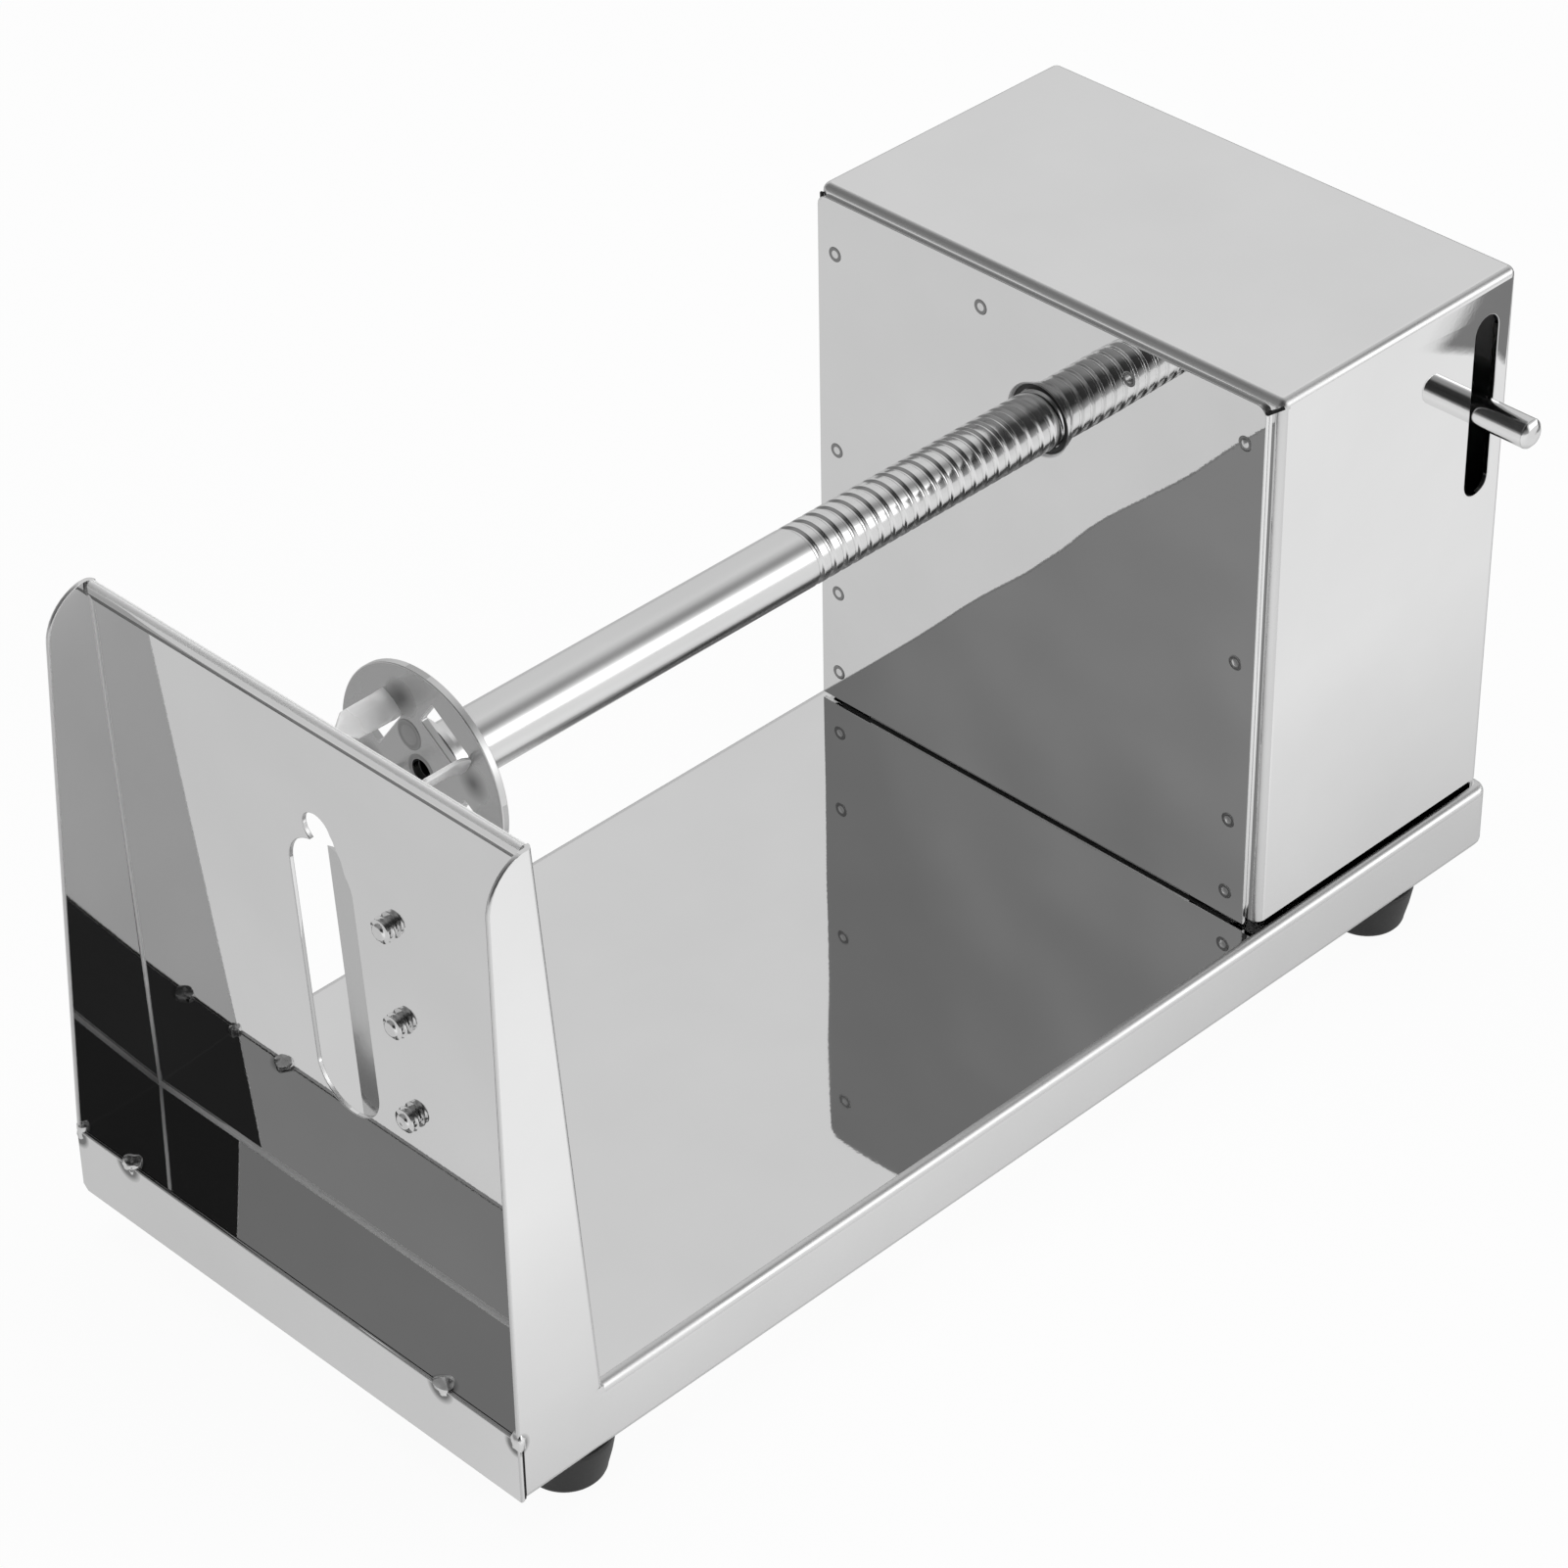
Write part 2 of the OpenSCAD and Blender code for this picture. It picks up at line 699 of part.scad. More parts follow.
// Depth of the groove at a place along the shaft. It fades in and out at the thread's ends.
function groove_depth(x) = thread_depth
    * max(0, min(1, (x - thread_start) / thread_run, (thread_end - x) / thread_pitch));

// A threaded tube as one closed surface. Each column of points runs along the tube at one angle,
// from the bore's front edge over the grooves to the bore's back edge.
module lead_screw() {
    n = thread_sides;
    turns = floor((thread_end - thread_start) / thread_pitch);
    r = shaft_d / 2;
    rb = shaft_bore / 2;
    groove_w = groove_share * thread_pitch;
    floor_w = groove_floor_share * thread_pitch;
    flank = (groove_w - floor_w) / 2;
    // The groove's corners as places along the shaft, and whether they lie on its floor
    corners = [[0, 0], [flank, 1], [flank + floor_w, 1], [groove_w, 0]];
    m = len(corners);
    last = turns * m + 3;
    function column(i) = let (a = 360 * i / n, x0 = thread_start + thread_pitch * i / n) [
        [shaft_x0, rb * cos(a), rb * sin(a)],
        [shaft_x0, r * cos(a), r * sin(a)],
        for (t = [0 : turns - 1], c = corners)
            let (x = x0 + t * thread_pitch + c[0], rr = r - c[1] * groove_depth(x))
            [x, rr * cos(a), rr * sin(a)],
        [shaft_x1, r * cos(a), r * sin(a)],
        [shaft_x1, rb * cos(a), rb * sin(a)]];
    function at(i, j) = i * (last + 1) + j;
    // The point beside point j of column i. After the last column the thread is one turn further on.
    function beside(i, j) = i < n - 1 ? at(i + 1, j)
        : j < 2 || j > last - 2 ? at(0, j) : at(0, min(j + m, last - 1));
    sheets = [for (i = [0 : n - 1], j = [0 : last]) let (k = (j + 1) % (last + 1))
        each [[at(i, j), at(i, k), beside(i, k)], [at(i, j), beside(i, k), beside(i, j)]]];
    // Where the first groove starts, a fan of triangles replaces the one that would jump over it
    jump = [at(n - 1, 1), beside(n - 1, 2), at(0, 1)];
    fan = [for (j = [1 : m + 1]) [at(n - 1, 1), at(0, j + 1), at(0, j)]];
    flat = [for (t = sheets) if (t != jump && t[1] != t[2]) t];
    steel() polyhedron([for (i = [0 : n - 1]) each column(i)], concat(flat, fan));
}

module shaft_flange() {
    dark_steel() difference() {
        bar_x(flange_r, disc_t, disc_t + flange_t);
        bar_x(skewer_d / 2, disc_t - over, disc_t + flange_t + over);
        at_rivets() bar_x(rivet_r, disc_t - over, disc_t + flange_t + over);
    }
}

module at_rivets() {
    for (a = [0, 180]) rotate([rivet_turn + a, 0, 0]) translate([0, rivet_place_r, 0]) children();
}

module rivet() {
    bar_x(rivet_head_r, 0, rivet_head_h);
    bar_x(rivet_r, 0, disc_t + flange_t);
}

module disc_rivets() { dark_steel() at_rivets() rivet(); }

// A prong is cut from the disc and bent to the front. It is drawn for a prong straight out along Y.
module prong() {
    y1 = prong_near + prong_w;
    mid = prong_near + prong_w / 2;
    tip = prong_w * prong_tip_share;
    translate([0, 0, prong_root - prong_t]) linear_extrude(prong_t)
        polygon([[disc_t, prong_near], [disc_t, y1], [prong_tip - prong_l, y1],
            [-prong_l, mid + tip], [-prong_l, mid - tip], [prong_tip - prong_l, prong_near]]);
}

module prong_disc() {
    at = [for (k = [0 : prong_n - 1]) prong_turn + 360 * k / prong_n];
    steel() {
        difference() {
            bar_x(disc_d / 2, 0, disc_t);
            bar_x(skewer_d / 2, -over, disc_t + over);
            at_rivets() rivet();
            for (a = at) rotate([a, 0, 0]) translate([-over, prong_near, prong_root - window_l])
                cube([disc_t + 2 * over, prong_w, window_l]);
        }
        for (a = at) rotate([a, 0, 0]) prong();
    }
}

// Puts its children, drawn round the X axis, at the grip's spindle.
module at_spindle() {
    rotate([crank_turn - 90, 0, 0]) translate([0, crank_r, 0]) children();
}

// The crank's hub sits on the end of the shaft, and its arm carries the grip's spindle.
module crank_arm() {
    steel() difference() {
        union() {
            bar_x(hub_r, hub_x0, hub_x0 + hub_l);
            rotate([crank_turn - 90, 0, 0]) translate([arm_x0, 0, -arm_half_w])
                cube([arm_t, crank_r, 2 * arm_half_w]);
            at_spindle() bar_x(arm_eye_r, arm_x0, arm_x0 + arm_t);
        }
        bar_x(shaft_d / 2, hub_x0 - over, hub_x0 + hub_l + over);
        at_spindle() bar_x(spindle_d / 2, arm_x0 - over, arm_x0 + arm_t + over);
        at_crank_screw() cylinder(d = crank_screw_d, h = hub_r + over);
    }
}

// Turns its children so that Z points from the shaft out through the hub, opposite the arm.
module at_crank_screw() {
    rotate([crank_turn, 0, 0]) translate([hub_x0 + crank_screw_x, 0, 0]) children();
}

module crank_screw() {
    dark_steel() at_crank_screw() translate([0, 0, shaft_d / 2])
        cylinder(d = crank_screw_d, h = hub_r - shaft_d / 2 + crank_screw_d / 4);
}

// The spindle is held by its collar and a nut on the arm, and its head keeps the grip on.
module grip_spindle() {
    head_x = grip_x1 + 2 * grip_gap + washer_t;
    dark_steel() at_spindle() {
        bar_x(spindle_d / 2, arm_x0 - spindle_nut_h - washer_t, head_x);
        bar_x(spindle_collar_d / 2, arm_x0 + arm_t, arm_x0 + arm_t + spindle_collar_l);
        bar_x(spindle_head_d / 2, head_x, head_x + spindle_head_h);
    }
}

module spindle_nut() {
    dark_steel() at_spindle() translate([arm_x0 - spindle_nut_h, 0, 0]) rotate([0, 90, 0])
        hex_nut(spindle_nut_d, spindle_nut_h, spindle_d);
}

// The grip turns freely on the spindle. Its outline is fuller in the middle.
module handle_grip() {
    r = grip_d / 2;
    r0 = spindle_d / 2 + grip_fit;
    end_r = r - grip_waist;
    bow_l = grip_l - 2 * grip_edge_r;
    polymer() at_spindle() translate([grip_x0, 0, 0]) rotate([0, 90, 0]) rotate_extrude()
        polygon(concat([[r0, 0]],
            [for (a = [0 : 15 : 90]) [end_r - grip_edge_r * (1 - sin(a)), grip_edge_r * (1 - cos(a))]],
            [for (k = [1 : 7]) [end_r + grip_waist * sin(180 * k / 8), grip_edge_r + bow_l * k / 8]],
            [for (a = [90 : -15 : 0])
                [end_r - grip_edge_r * (1 - sin(a)), grip_l - grip_edge_r * (1 - cos(a))]],
            [[r0, grip_l]]));
}

module grip_washer() {
    dark_steel() at_spindle() translate([grip_x1 + grip_gap, 0, 0]) difference() {
        bar_x(washer_d / 2, 0, washer_t);
        bar_x(spindle_d / 2, -over, washer_t + over);
    }
}

module along_pin_screws() {
    for (side = [-1, 1]) translate([pin_x, side * nut_screw_y, 0]) children();
}

// The yoke reaches from its pivot under the shaft to the boss that holds the release pin.
module release_yoke() {
    boss_y = pin_root_y - pin_boss_l;
    steel() difference() {
        union() {
            along_x(yoke_x0, yoke_x1) polygon([[boss_y, yoke_low_z + pin_boss_r],
                [boss_y + pin_boss_r, yoke_low_z], [nut_half_w, yoke_low_z],
                [pivot_y, -pivot_eye_r], [pivot_y, pivot_eye_r],
                [nut_half_w + pin_boss_r, nut_seat_z], [pin_root_y, nut_seat_z],
                [pin_root_y, yoke_lug_z], [boss_y, yoke_lug_z]]);
            translate([0, pivot_y, 0]) bar_x(pivot_eye_r, yoke_x0, yoke_x1);
            translate([pin_x, pin_root_y, 0]) rotate([90, 0, 0]) cylinder(r = pin_boss_r, h = pin_boss_l);
        }
        translate([0, pivot_y, 0]) bar_x(pivot_d / 2 + pivot_fit, yoke_x0 - over, yoke_x1 + over);
        translate([pin_x, pin_root_y + over, 0]) rotate([90, 0, 0])
            cylinder(d = pin_d, h = pin_boss_l + 2 * over);
        along_pin_screws() translate([0, 0, yoke_low_z - over])
            cylinder(d = nut_screw_d, h = nut_seat_z - yoke_low_z + 2 * over);
    }
}

// Teeth of the half nut: rings tilted to the thread's lead, in step with the groove above the seat.
module nut_teeth() {
    groove_mid = groove_share * thread_pitch / 2;
    // At the bottom of the shaft the groove stands three quarters of a pitch behind the first column
    first = thread_start + groove_mid + thread_pitch * 0.75;
    k0 = ceil((nut_x0 + nut_clear + thread_pitch / 4 - first) / thread_pitch);
    k1 = floor((nut_x1 - nut_clear - thread_pitch / 4 - first) / thread_pitch);
    lead = atan(thread_pitch / (PI * shaft_d));
    for (k = [k0 : k1]) translate([first + k * thread_pitch, 0, 0]) rotate([0, 0, -lead]) difference() {
        bar_x(shaft_d / 2 + 2 * nut_clear, -nut_tooth_w / 2, nut_tooth_w / 2);
        bar_x(shaft_d / 2 - nut_tooth_in, -over, over);
        translate([-over, -shaft_d, nut_top_z]) cube([2 * over, 2 * shaft_d, 2 * shaft_d]);
    }
}

// The half nut sits on the yoke under the shaft.
module half_nut() {
    color([0.78, 0.66, 0.38]) {
        difference() {
            translate([nut_x0, -nut_half_w, nut_seat_z])
                cube([nut_x1 - nut_x0, 2 * nut_half_w, nut_top_z - nut_seat_z]);
            bar_x(shaft_d / 2 + nut_clear, nut_x0 - over, nut_x1 + over);
            along_pin_screws() translate([0, 0, nut_seat_z - over])
                cylinder(d = nut_screw_d, h = nut_screw_up + over);
        }
        nut_teeth();
    }
}

module half_nut_screws() {
    dark_steel() along_pin_screws() {
        translate([0, 0, yoke_low_z]) cylinder(d = nut_screw_d, h = nut_seat_z - yoke_low_z + nut_screw_up);
        translate([0, 0, yoke_low_z - nut_head_h]) cylinder(d = nut_head_d, h = nut_head_h);
    }
}

// The release pin is pressed in the yoke's boss and comes out through the slot in the casing's side.
module release_pin() {
    l = pin_out + case_w / 2 + pin_root_y;
    r = pin_d / 2;
    steel() translate([pin_x, pin_root_y, 0]) rotate([90, 0, 0]) rotate_extrude()
        polygon(concat([[0, 0], [r, 0]],
            [for (a = [0 : 15 : 90]) [r - pin_end_r * (1 - cos(a)), l - pin_end_r * (1 - sin(a))]],
            [[0, l]]));
}

// A wire coil between the yoke's lug and the stud. Its ends run straight for one wire's diameter.
module return_spring() {
    z0 = yoke_lug_z;
    z1 = stud_z - stud_r;
    wound = z1 - z0 - 2 * spring_wire_d;
    steps = spring_curls * spring_rings;
    wire_r = spring_wire_d / 2;
    function turn(i) = 360 * i / spring_rings;
    function on_coil(i) = [spring_r * cos(turn(i)), spring_r * sin(turn(i)), wound * i / steps];
    middle = [for (i = [0 : steps]) on_coil(i)];
    path = concat([[spring_r, 0, -spring_wire_d]], middle, [[spring_r, 0, wound + spring_wire_d]]);
    n = len(path);
    // Each ring lies across the wire: its first direction points out from the coil's middle
    function outward(i) = let (a = turn(max(0, min(steps, i - 1)))) [cos(a), sin(a), 0];
    rise = wound / steps;
    step_l = 2 * spring_r * sin(180 / spring_rings);
    function forward(i) = i < 2 || i > n - 3 ? [0, 0, 1]
        : let (a = turn(i - 1), v = [-step_l * sin(a), step_l * cos(a), rise]) v / norm(v);
    function ring(i) = let (u = outward(i), w = cross(forward(i), u))
        [for (k = [0 : spring_sides - 1]) let (b = 360 * k / spring_sides)
            path[i] + wire_r * (cos(b) * u + sin(b) * w)];
    points = [for (i = [0 : n - 1]) each ring(i)];
    function at(i, k) = i * spring_sides + k % spring_sides;
    walls = [for (i = [0 : n - 2], k = [0 : spring_sides - 1]) each
        [[at(i, k), at(i + 1, k), at(i + 1, k + 1)], [at(i, k), at(i + 1, k + 1), at(i, k + 1)]]];
    ends = [for (k = [1 : spring_sides - 2]) each
        [[at(0, 0), at(0, k), at(0, k + 1)], [at(n - 1, 0), at(n - 1, k + 1), at(n - 1, k)]]];
    least = min([for (i = [0 : steps - spring_rings]) for (k = [spring_rings - 1 : spring_rings + 1])
        if (i + k <= steps) norm(middle[i + k] - middle[i]) - spring_wire_d]);
    echo(str("least gap of the spring to itself: ", least));
    steel() translate([pin_x, stud_y, z0 + spring_wire_d]) polyhedron(points, concat(walls, ends));
}

base_tray();
front_lip();
corner_welds();
lip_welds();
blade_plate();
slicing_blade();
blade_screws();
casing_wrap();
front_panel();
back_panel();
front_spot_welds();
back_spot_welds();
front_bearing_plate();
rear_bearing_plate();
casing_screws();
casing_nuts();
pivot_pin();
pivot_clip();
spring_stud();
rubber_feet();
foot_screws();
foot_nuts();
front_bush();
rear_bush();
lead_screw();
shaft_flange();
prong_disc();
disc_rivets();
crank_arm();
crank_screw();
grip_spindle();
spindle_nut();
handle_grip();
grip_washer();
release_yoke();
half_nut();
half_nut_screws();
release_pin();
return_spring();
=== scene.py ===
import json
import math

import bmesh
import bpy
from mathutils import Matrix, Vector
from mathutils.geometry import tessellate_polygon


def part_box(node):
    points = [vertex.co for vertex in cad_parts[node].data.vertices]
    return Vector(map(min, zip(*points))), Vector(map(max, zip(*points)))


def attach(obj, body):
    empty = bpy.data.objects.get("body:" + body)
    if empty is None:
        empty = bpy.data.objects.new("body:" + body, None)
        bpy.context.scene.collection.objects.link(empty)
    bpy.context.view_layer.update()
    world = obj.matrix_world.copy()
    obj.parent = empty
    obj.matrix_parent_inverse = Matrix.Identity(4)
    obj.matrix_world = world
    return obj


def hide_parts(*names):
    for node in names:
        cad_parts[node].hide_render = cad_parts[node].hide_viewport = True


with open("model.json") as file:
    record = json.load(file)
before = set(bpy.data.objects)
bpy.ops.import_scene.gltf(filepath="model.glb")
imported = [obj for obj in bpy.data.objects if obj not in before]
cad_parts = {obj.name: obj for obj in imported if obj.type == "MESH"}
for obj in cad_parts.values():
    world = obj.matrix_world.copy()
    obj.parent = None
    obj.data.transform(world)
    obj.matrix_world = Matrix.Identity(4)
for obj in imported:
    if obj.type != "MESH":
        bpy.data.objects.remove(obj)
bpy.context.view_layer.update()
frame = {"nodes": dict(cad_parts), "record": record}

MM = 0.001

# The photograph's viewing angle, found from the edges of the base and the casing
AIM = (112.9, 0, -63.2)
AZIMUTH = -44.48
ELEVATION = 36.18
DISTANCE = 1236.6
ROLL = -1.04
LENS = 117.22
SENSOR = 36

# Lamps: name, place and size in metres, and power
LAMPS = (("above", (0.1, 0.2, 1.8), 1.6, 14), ("near", (0.9, -1.5, 0.7), 0.9, 6))
LAMP_AIM = (0.1, 0, -0.05)
FLOOR_REACH = 9

# Base
SHEET = 1.2
BEND = 2.5
LOW_BEND = 2
FLANGE = 21
REAR_FLANGE = 3
X_FRONT = -50
X_REAR = 293.5
HALF_W = 78
Z_BASE = -118.7
Z_SKIRT = -137.5
Z_FLOOR = -150.5
CORNER = 4
SEAM = 0.4
LIP_EDGE = 0.4
LIP_CHAMFER = 1.6
LIP_WELDS = (58.5, -52)
WELD_REACH = 4.6
CORNER_REACH = 3.8
BURN_START = 0.6
BURN_DEPTH = 0.72

# Blade plate and wings
PLATE_X = -24.9
PLATE_H = 153
PLATE_LEAN = math.radians(2.9)
PLATE_TOP = Z_BASE + PLATE_H * math.cos(PLATE_LEAN)
WING_FOOT = Z_BASE - 3.3
WING_BEND_H = 10
WING_BEND = (WING_FOOT, WING_FOOT + WING_BEND_H)
WING_SLOPE = 0.0339
WING_RUN = 5
WING_R = 12
WING_TURNS = (8, 17, 26, 35, 44, 53, 61, 68, 74, 79)
WING_TIP = 0.5
WING_CUT = 0.15
WING_TAIL = 3
WING_SHADE_SIDE = 30
FOLD_R = 1.9
FOOT_R = 1.3
HEM_H = 5
HEM_LIP = 2.1
HEM_GAP = 0.15
HEM_BORE = 0.3
EDGE = 0.2
AXIS_S = 118.85
SLOT_LEFT = 11.3
SLOT_RIGHT = -9.7
SLOT_TOP = 115.1
SLOT_BOTTOM = 35.7
PLATE_HOLE_R = 4.6
BLADE_Y = -21.4
BLADE_S = 47.8
BLADE_PITCH = 27.8
BLADE_ENDS = (33.5, 113.3)
BLADE_SCREW_R = 2.8

# Casing
CASE_X0 = 202.2
CASE_X1 = 292
CASE_HALF = 75.8
CASE_TOP = 36.7
CASE_LOW = -116.1
PANEL_HALF = 73.5
PANEL_SHIFT = 1.8
PANEL_TOP = 34.1
PANEL_CORNER = 3
PANEL_FOOT = 56
PANEL_HOLE = 9.2
PANEL_LOW = -117.7
PANEL_TURN_IN = 18
# Black strip of painted shade along the front panel's foot: height and half length
SHADE_STRIP_H = 0.45
SHADE_STRIP_HALF = 68
SPOT_EDGE = 6
SPOT_TOP = 10
SPOT_LOW = 0.06
PIN_X = 280
PIN_Z = 1.35
PIN_R = 4
PIN_INSIDE = 18
PIN_OUTSIDE = 16.5
PIN_SLOT_R = 4.5
PIN_SLOT_HALF = 21.25
# Open mitres: side, and both ends as place behind the casing's front, distance from the middle and height
MITRES = ((-1, (-0.02, 71.9, 32.5), (1.5, 75.85, 35.3)),
          (1, (-0.02, 74.1, 32.8), (0.9, 75.1, 34.2)))

# Shaft and disc
SHAFT_R = 8
BORE_R = 5.5
PITCH = 4
GROOVE = 0.75
THREAD_START = 116
THREAD_END = 292
FADE_IN = 1.2
SHAFT_X0 = 3.5
SHAFT_X1 = 316
SHAFT_CHAMFER = 0.6
THREAD_CLEAR = 0.5
DISC_R = 26.75
DISC_T = 2
SKEWER_R = 3
PRONG_TURN = 36
PRONG_NEAR = 12
PRONG_W = 7.5
PRONG_ROOT = 6.5
PRONG_T = 1.1
PRONG_L = 16
PRONG_TIP = 4
WINDOW_L = 14.2
WINDOW_R = 0.5
# Painted shade round the prongs' roots: distance from the middle, angle, reach, where the fading starts and
# strength
ROOT_SHADE_R = 18.2
ROOT_SHADE_TURN = 73
ROOT_SHADE_REACH = 5.5
ROOT_SHADE_START = 0.15
ROOT_SHADE_DEPTH = 0.5
RIVET_RING = 9
RIVET_TURNS = (68, 248)

# Rubber feet
FOOT_X = (-26, 260)
FOOT_Y = (-66, 66)


def make_camera():
    azimuth = math.radians(AZIMUTH)
    elevation = math.radians(ELEVATION)
    back = Vector((math.sin(azimuth) * math.cos(elevation), -math.cos(azimuth) * math.cos(elevation),
                   math.sin(elevation)))
    data = bpy.data.cameras.new("camera")
    data.lens = LENS
    data.sensor_width = SENSOR
    camera = bpy.data.objects.new("camera", data)
    camera.location = (Vector(AIM) + back * DISTANCE) * MM
    turn = (-back).to_track_quat("-Z", "Y") @ Matrix.Rotation(math.radians(ROLL), 3, "Z").to_quaternion()
    camera.rotation_mode = "QUATERNION"
    camera.rotation_quaternion = turn
    bpy.context.collection.objects.link(camera)
    bpy.context.scene.camera = camera


make_camera()


# Materials

class Nodes:
    """Short way to build a node tree."""

    def __init__(self, tree):
        self.tree = tree
        tree.nodes.clear()

    def add(self, kind, inputs=None, **settings):
        node = self.tree.nodes.new(kind)
        for key, value in settings.items():
            setattr(node, key, value)
        for key, value in (inputs or {}).items():
            if isinstance(value, bpy.types.NodeSocket):
                self.tree.links.new(value, node.inputs[key])
            else:
                node.inputs[key].default_value = value
        return node

    def math(self, operation, a, b=0.0, c=0.0):
        return self.add("ShaderNodeMath", {0: a, 1: b, 2: c}, operation=operation).outputs[0]

    def ramp(self, value, stops):
        node = self.add("ShaderNodeValToRGB", {0: value})
        elements = node.color_ramp.elements
        while len(elements) < len(stops):
            elements.new(1)
        for element, (place, tone) in zip(elements, stops):
            element.position = place
            element.color = (tone, tone, tone, 1)
        return node.outputs[0]

    def mix(self, share, a, b, blend="MIX"):
        settings = {"data_type": "RGBA", "blend_type": blend}
        return self.add("ShaderNodeMix", {0: share, 6: a, 7: b}, **settings).outputs[2]

    def noise(self, place, scale, detail):
        inputs = {"Vector": place, "Scale": scale, "Detail": detail}
        return self.add("ShaderNodeTexNoise", inputs).outputs[0]

    def span(self, value, low, high, start, end):
        """Turns the values from low to high into values from start to end."""
        return self.add("ShaderNodeMapRange", {0: value, 1: low, 2: high, 3: start, 4: end}).outputs[0]

    def grey(self, tone):
        return self.add("ShaderNodeCombineColor", {0: tone, 1: tone, 2: tone}).outputs[0]


def new_material(name):
    material = bpy.data.materials.new(name)
    material.use_nodes = True
    return material, Nodes(material.node_tree)


def sky():
    """A studio: the right half is pale with one long light low on the near side, the left half is dark."""
    world = bpy.data.worlds.new("studio")
    bpy.context.scene.world = world
    world.use_nodes = True
    n = Nodes(world.node_tree)
    way = n.add("ShaderNodeTexCoord").outputs["Generated"]
    part = n.add("ShaderNodeSeparateXYZ", {0: way}).outputs
    # Angle round the shaft's axis: 0 at the far horizon, 0.25 overhead, 0.5 at the near horizon
    turn = n.math("ARCTAN2", part[2], part[1])
    share = n.math("FRACT", n.math("DIVIDE", turn, 2 * math.pi))
    right = n.ramp(share, [(0.0, 0.66), (0.16, 0.68), (0.23, 0.72), (0.27, 0.58), (0.315, 0.31),
                           (0.345, 0.30), (0.385, 0.70), (0.41, 1.7), (0.475, 1.7), (0.50, 0.7),
                           (0.54, 0.7), (0.95, 0.7)])
    left = n.ramp(share, [(0.0, 0.17), (0.21, 0.17), (0.30, 0.03), (0.42, 0.02), (0.50, 0.3), (0.95, 0.7)])
    side = n.ramp(n.math("ADD", part[0], 0.5), [(0.42, 0.0), (0.72, 1.0)])
    # The dark half is a little paler towards its two ends
    ends = n.ramp(n.math("MULTIPLY", part[0], -1.0), [(0.38, 1.3), (0.5, 1.0), (0.57, 1.05), (0.64, 1.5)])
    left = n.mix(1.0, left, ends, "MULTIPLY")
    colour = n.mix(side, left, right)
    light = n.add("ShaderNodeBackground", {"Color": colour, "Strength": 1.0})
    n.add("ShaderNodeOutputWorld", {0: light.outputs[0]})


def floor():
    """A pale floor: white to the camera, apart from the object's own soft shadow. In reflections it glows
    with painted shade and a painted dark patch.
    """
    material, n = new_material("floor")
    path = n.add("ShaderNodeLightPath").outputs
    place = n.add("ShaderNodeTexCoord").outputs["Object"]
    part = n.add("ShaderNodeSeparateXYZ", {0: place}).outputs
    # Painted shade in the floor's glow: brighter towards the near side, darker at the far end, with one
    # painted dark patch past the far near corner that shows as a dark reflection beside the pin's slot
    near = n.ramp(n.math("SUBTRACT", 0.5, part[1]),
                  [(0.40, 0.62), (0.59, 0.70), (0.62, 0.81), (0.67, 0.97)])
    along = n.ramp(n.math("ADD", part[0], 0.5),
                   [(0.39, 0.95), (0.42, 1.0), (0.60, 1.0), (0.80, 0.86)])
    # The painted dark patch begins at one slanted line and ends at another
    beyond = n.math("SUBTRACT", part[0], n.math("MULTIPLY", part[1], 0.77))
    beside = n.math("MULTIPLY", n.math("ADD", part[1], n.math("MULTIPLY", part[0], 0.25)), -1.0)
    painted_dark_patch = n.math("MULTIPLY", n.ramp(beyond, [(0.6855, 0.0), (0.6885, 1.0)]),
                  n.ramp(beside, [(0.1265, 1.0), (0.1295, 0.0)]))
    shade = n.math("SUBTRACT", 1.0, n.math("MULTIPLY", painted_dark_patch, 0.86))
    tone = n.math("MULTIPLY", n.math("MULTIPLY", near, along), shade)
    tone = n.grey(tone)
    white = n.add("ShaderNodeEmission", {"Color": (1, 1, 1, 1), "Strength": 1.0}).outputs[0]
    # The floor's glow as seen in reflections, carrying the painted shade and the painted dark patch
    painted_glow = n.add("ShaderNodeEmission", {"Color": tone, "Strength": 1.0}).outputs[0]
    matt = n.add("ShaderNodeBsdfDiffuse", {"Color": (0.85, 0.85, 0.85, 1)}).outputs[0]
    mirrored = n.math("MULTIPLY", path["Is Glossy Ray"], 0.85)
    mirrored = n.add("ShaderNodeMixShader", {0: mirrored, 1: matt, 2: painted_glow}).outputs[0]
    seen = n.math("MULTIPLY", path["Is Camera Ray"], 0.95)
    seen = n.add("ShaderNodeMixShader", {0: seen, 1: mirrored, 2: white}).outputs[0]
    n.add("ShaderNodeOutputMaterial", {0: seen})
    mesh = bpy.data.meshes.new("floor")
    reach = FLOOR_REACH
    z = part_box("rubber_feet")[0][2]
    corners = [(-reach, -reach, z), (reach, -reach, z), (reach, reach, z), (-reach, reach, z)]
    mesh.from_pydata(corners, [], [(0, 1, 2, 3)])
    mesh.materials.append(material)
    plane = bpy.data.objects.new("floor", mesh)
    bpy.context.collection.objects.link(plane)


def lamps():
    """Two plain softboxes, one above and one near the camera's right."""
    for name, place, size, power in LAMPS:
        data = bpy.data.lights.new(name, "AREA")
        data.energy = power
        data.size = size
        lamp = bpy.data.objects.new(name, data)
        lamp.location = place
        lamp.rotation_euler = (Vector(LAMP_AIM) - Vector(place)).to_track_quat("-Z", "Y").to_euler()
        lamp.visible_glossy = False
        bpy.context.collection.objects.link(lamp)


sky()
floor()
lamps()
bpy.context.scene.view_settings.view_transform = "Standard"


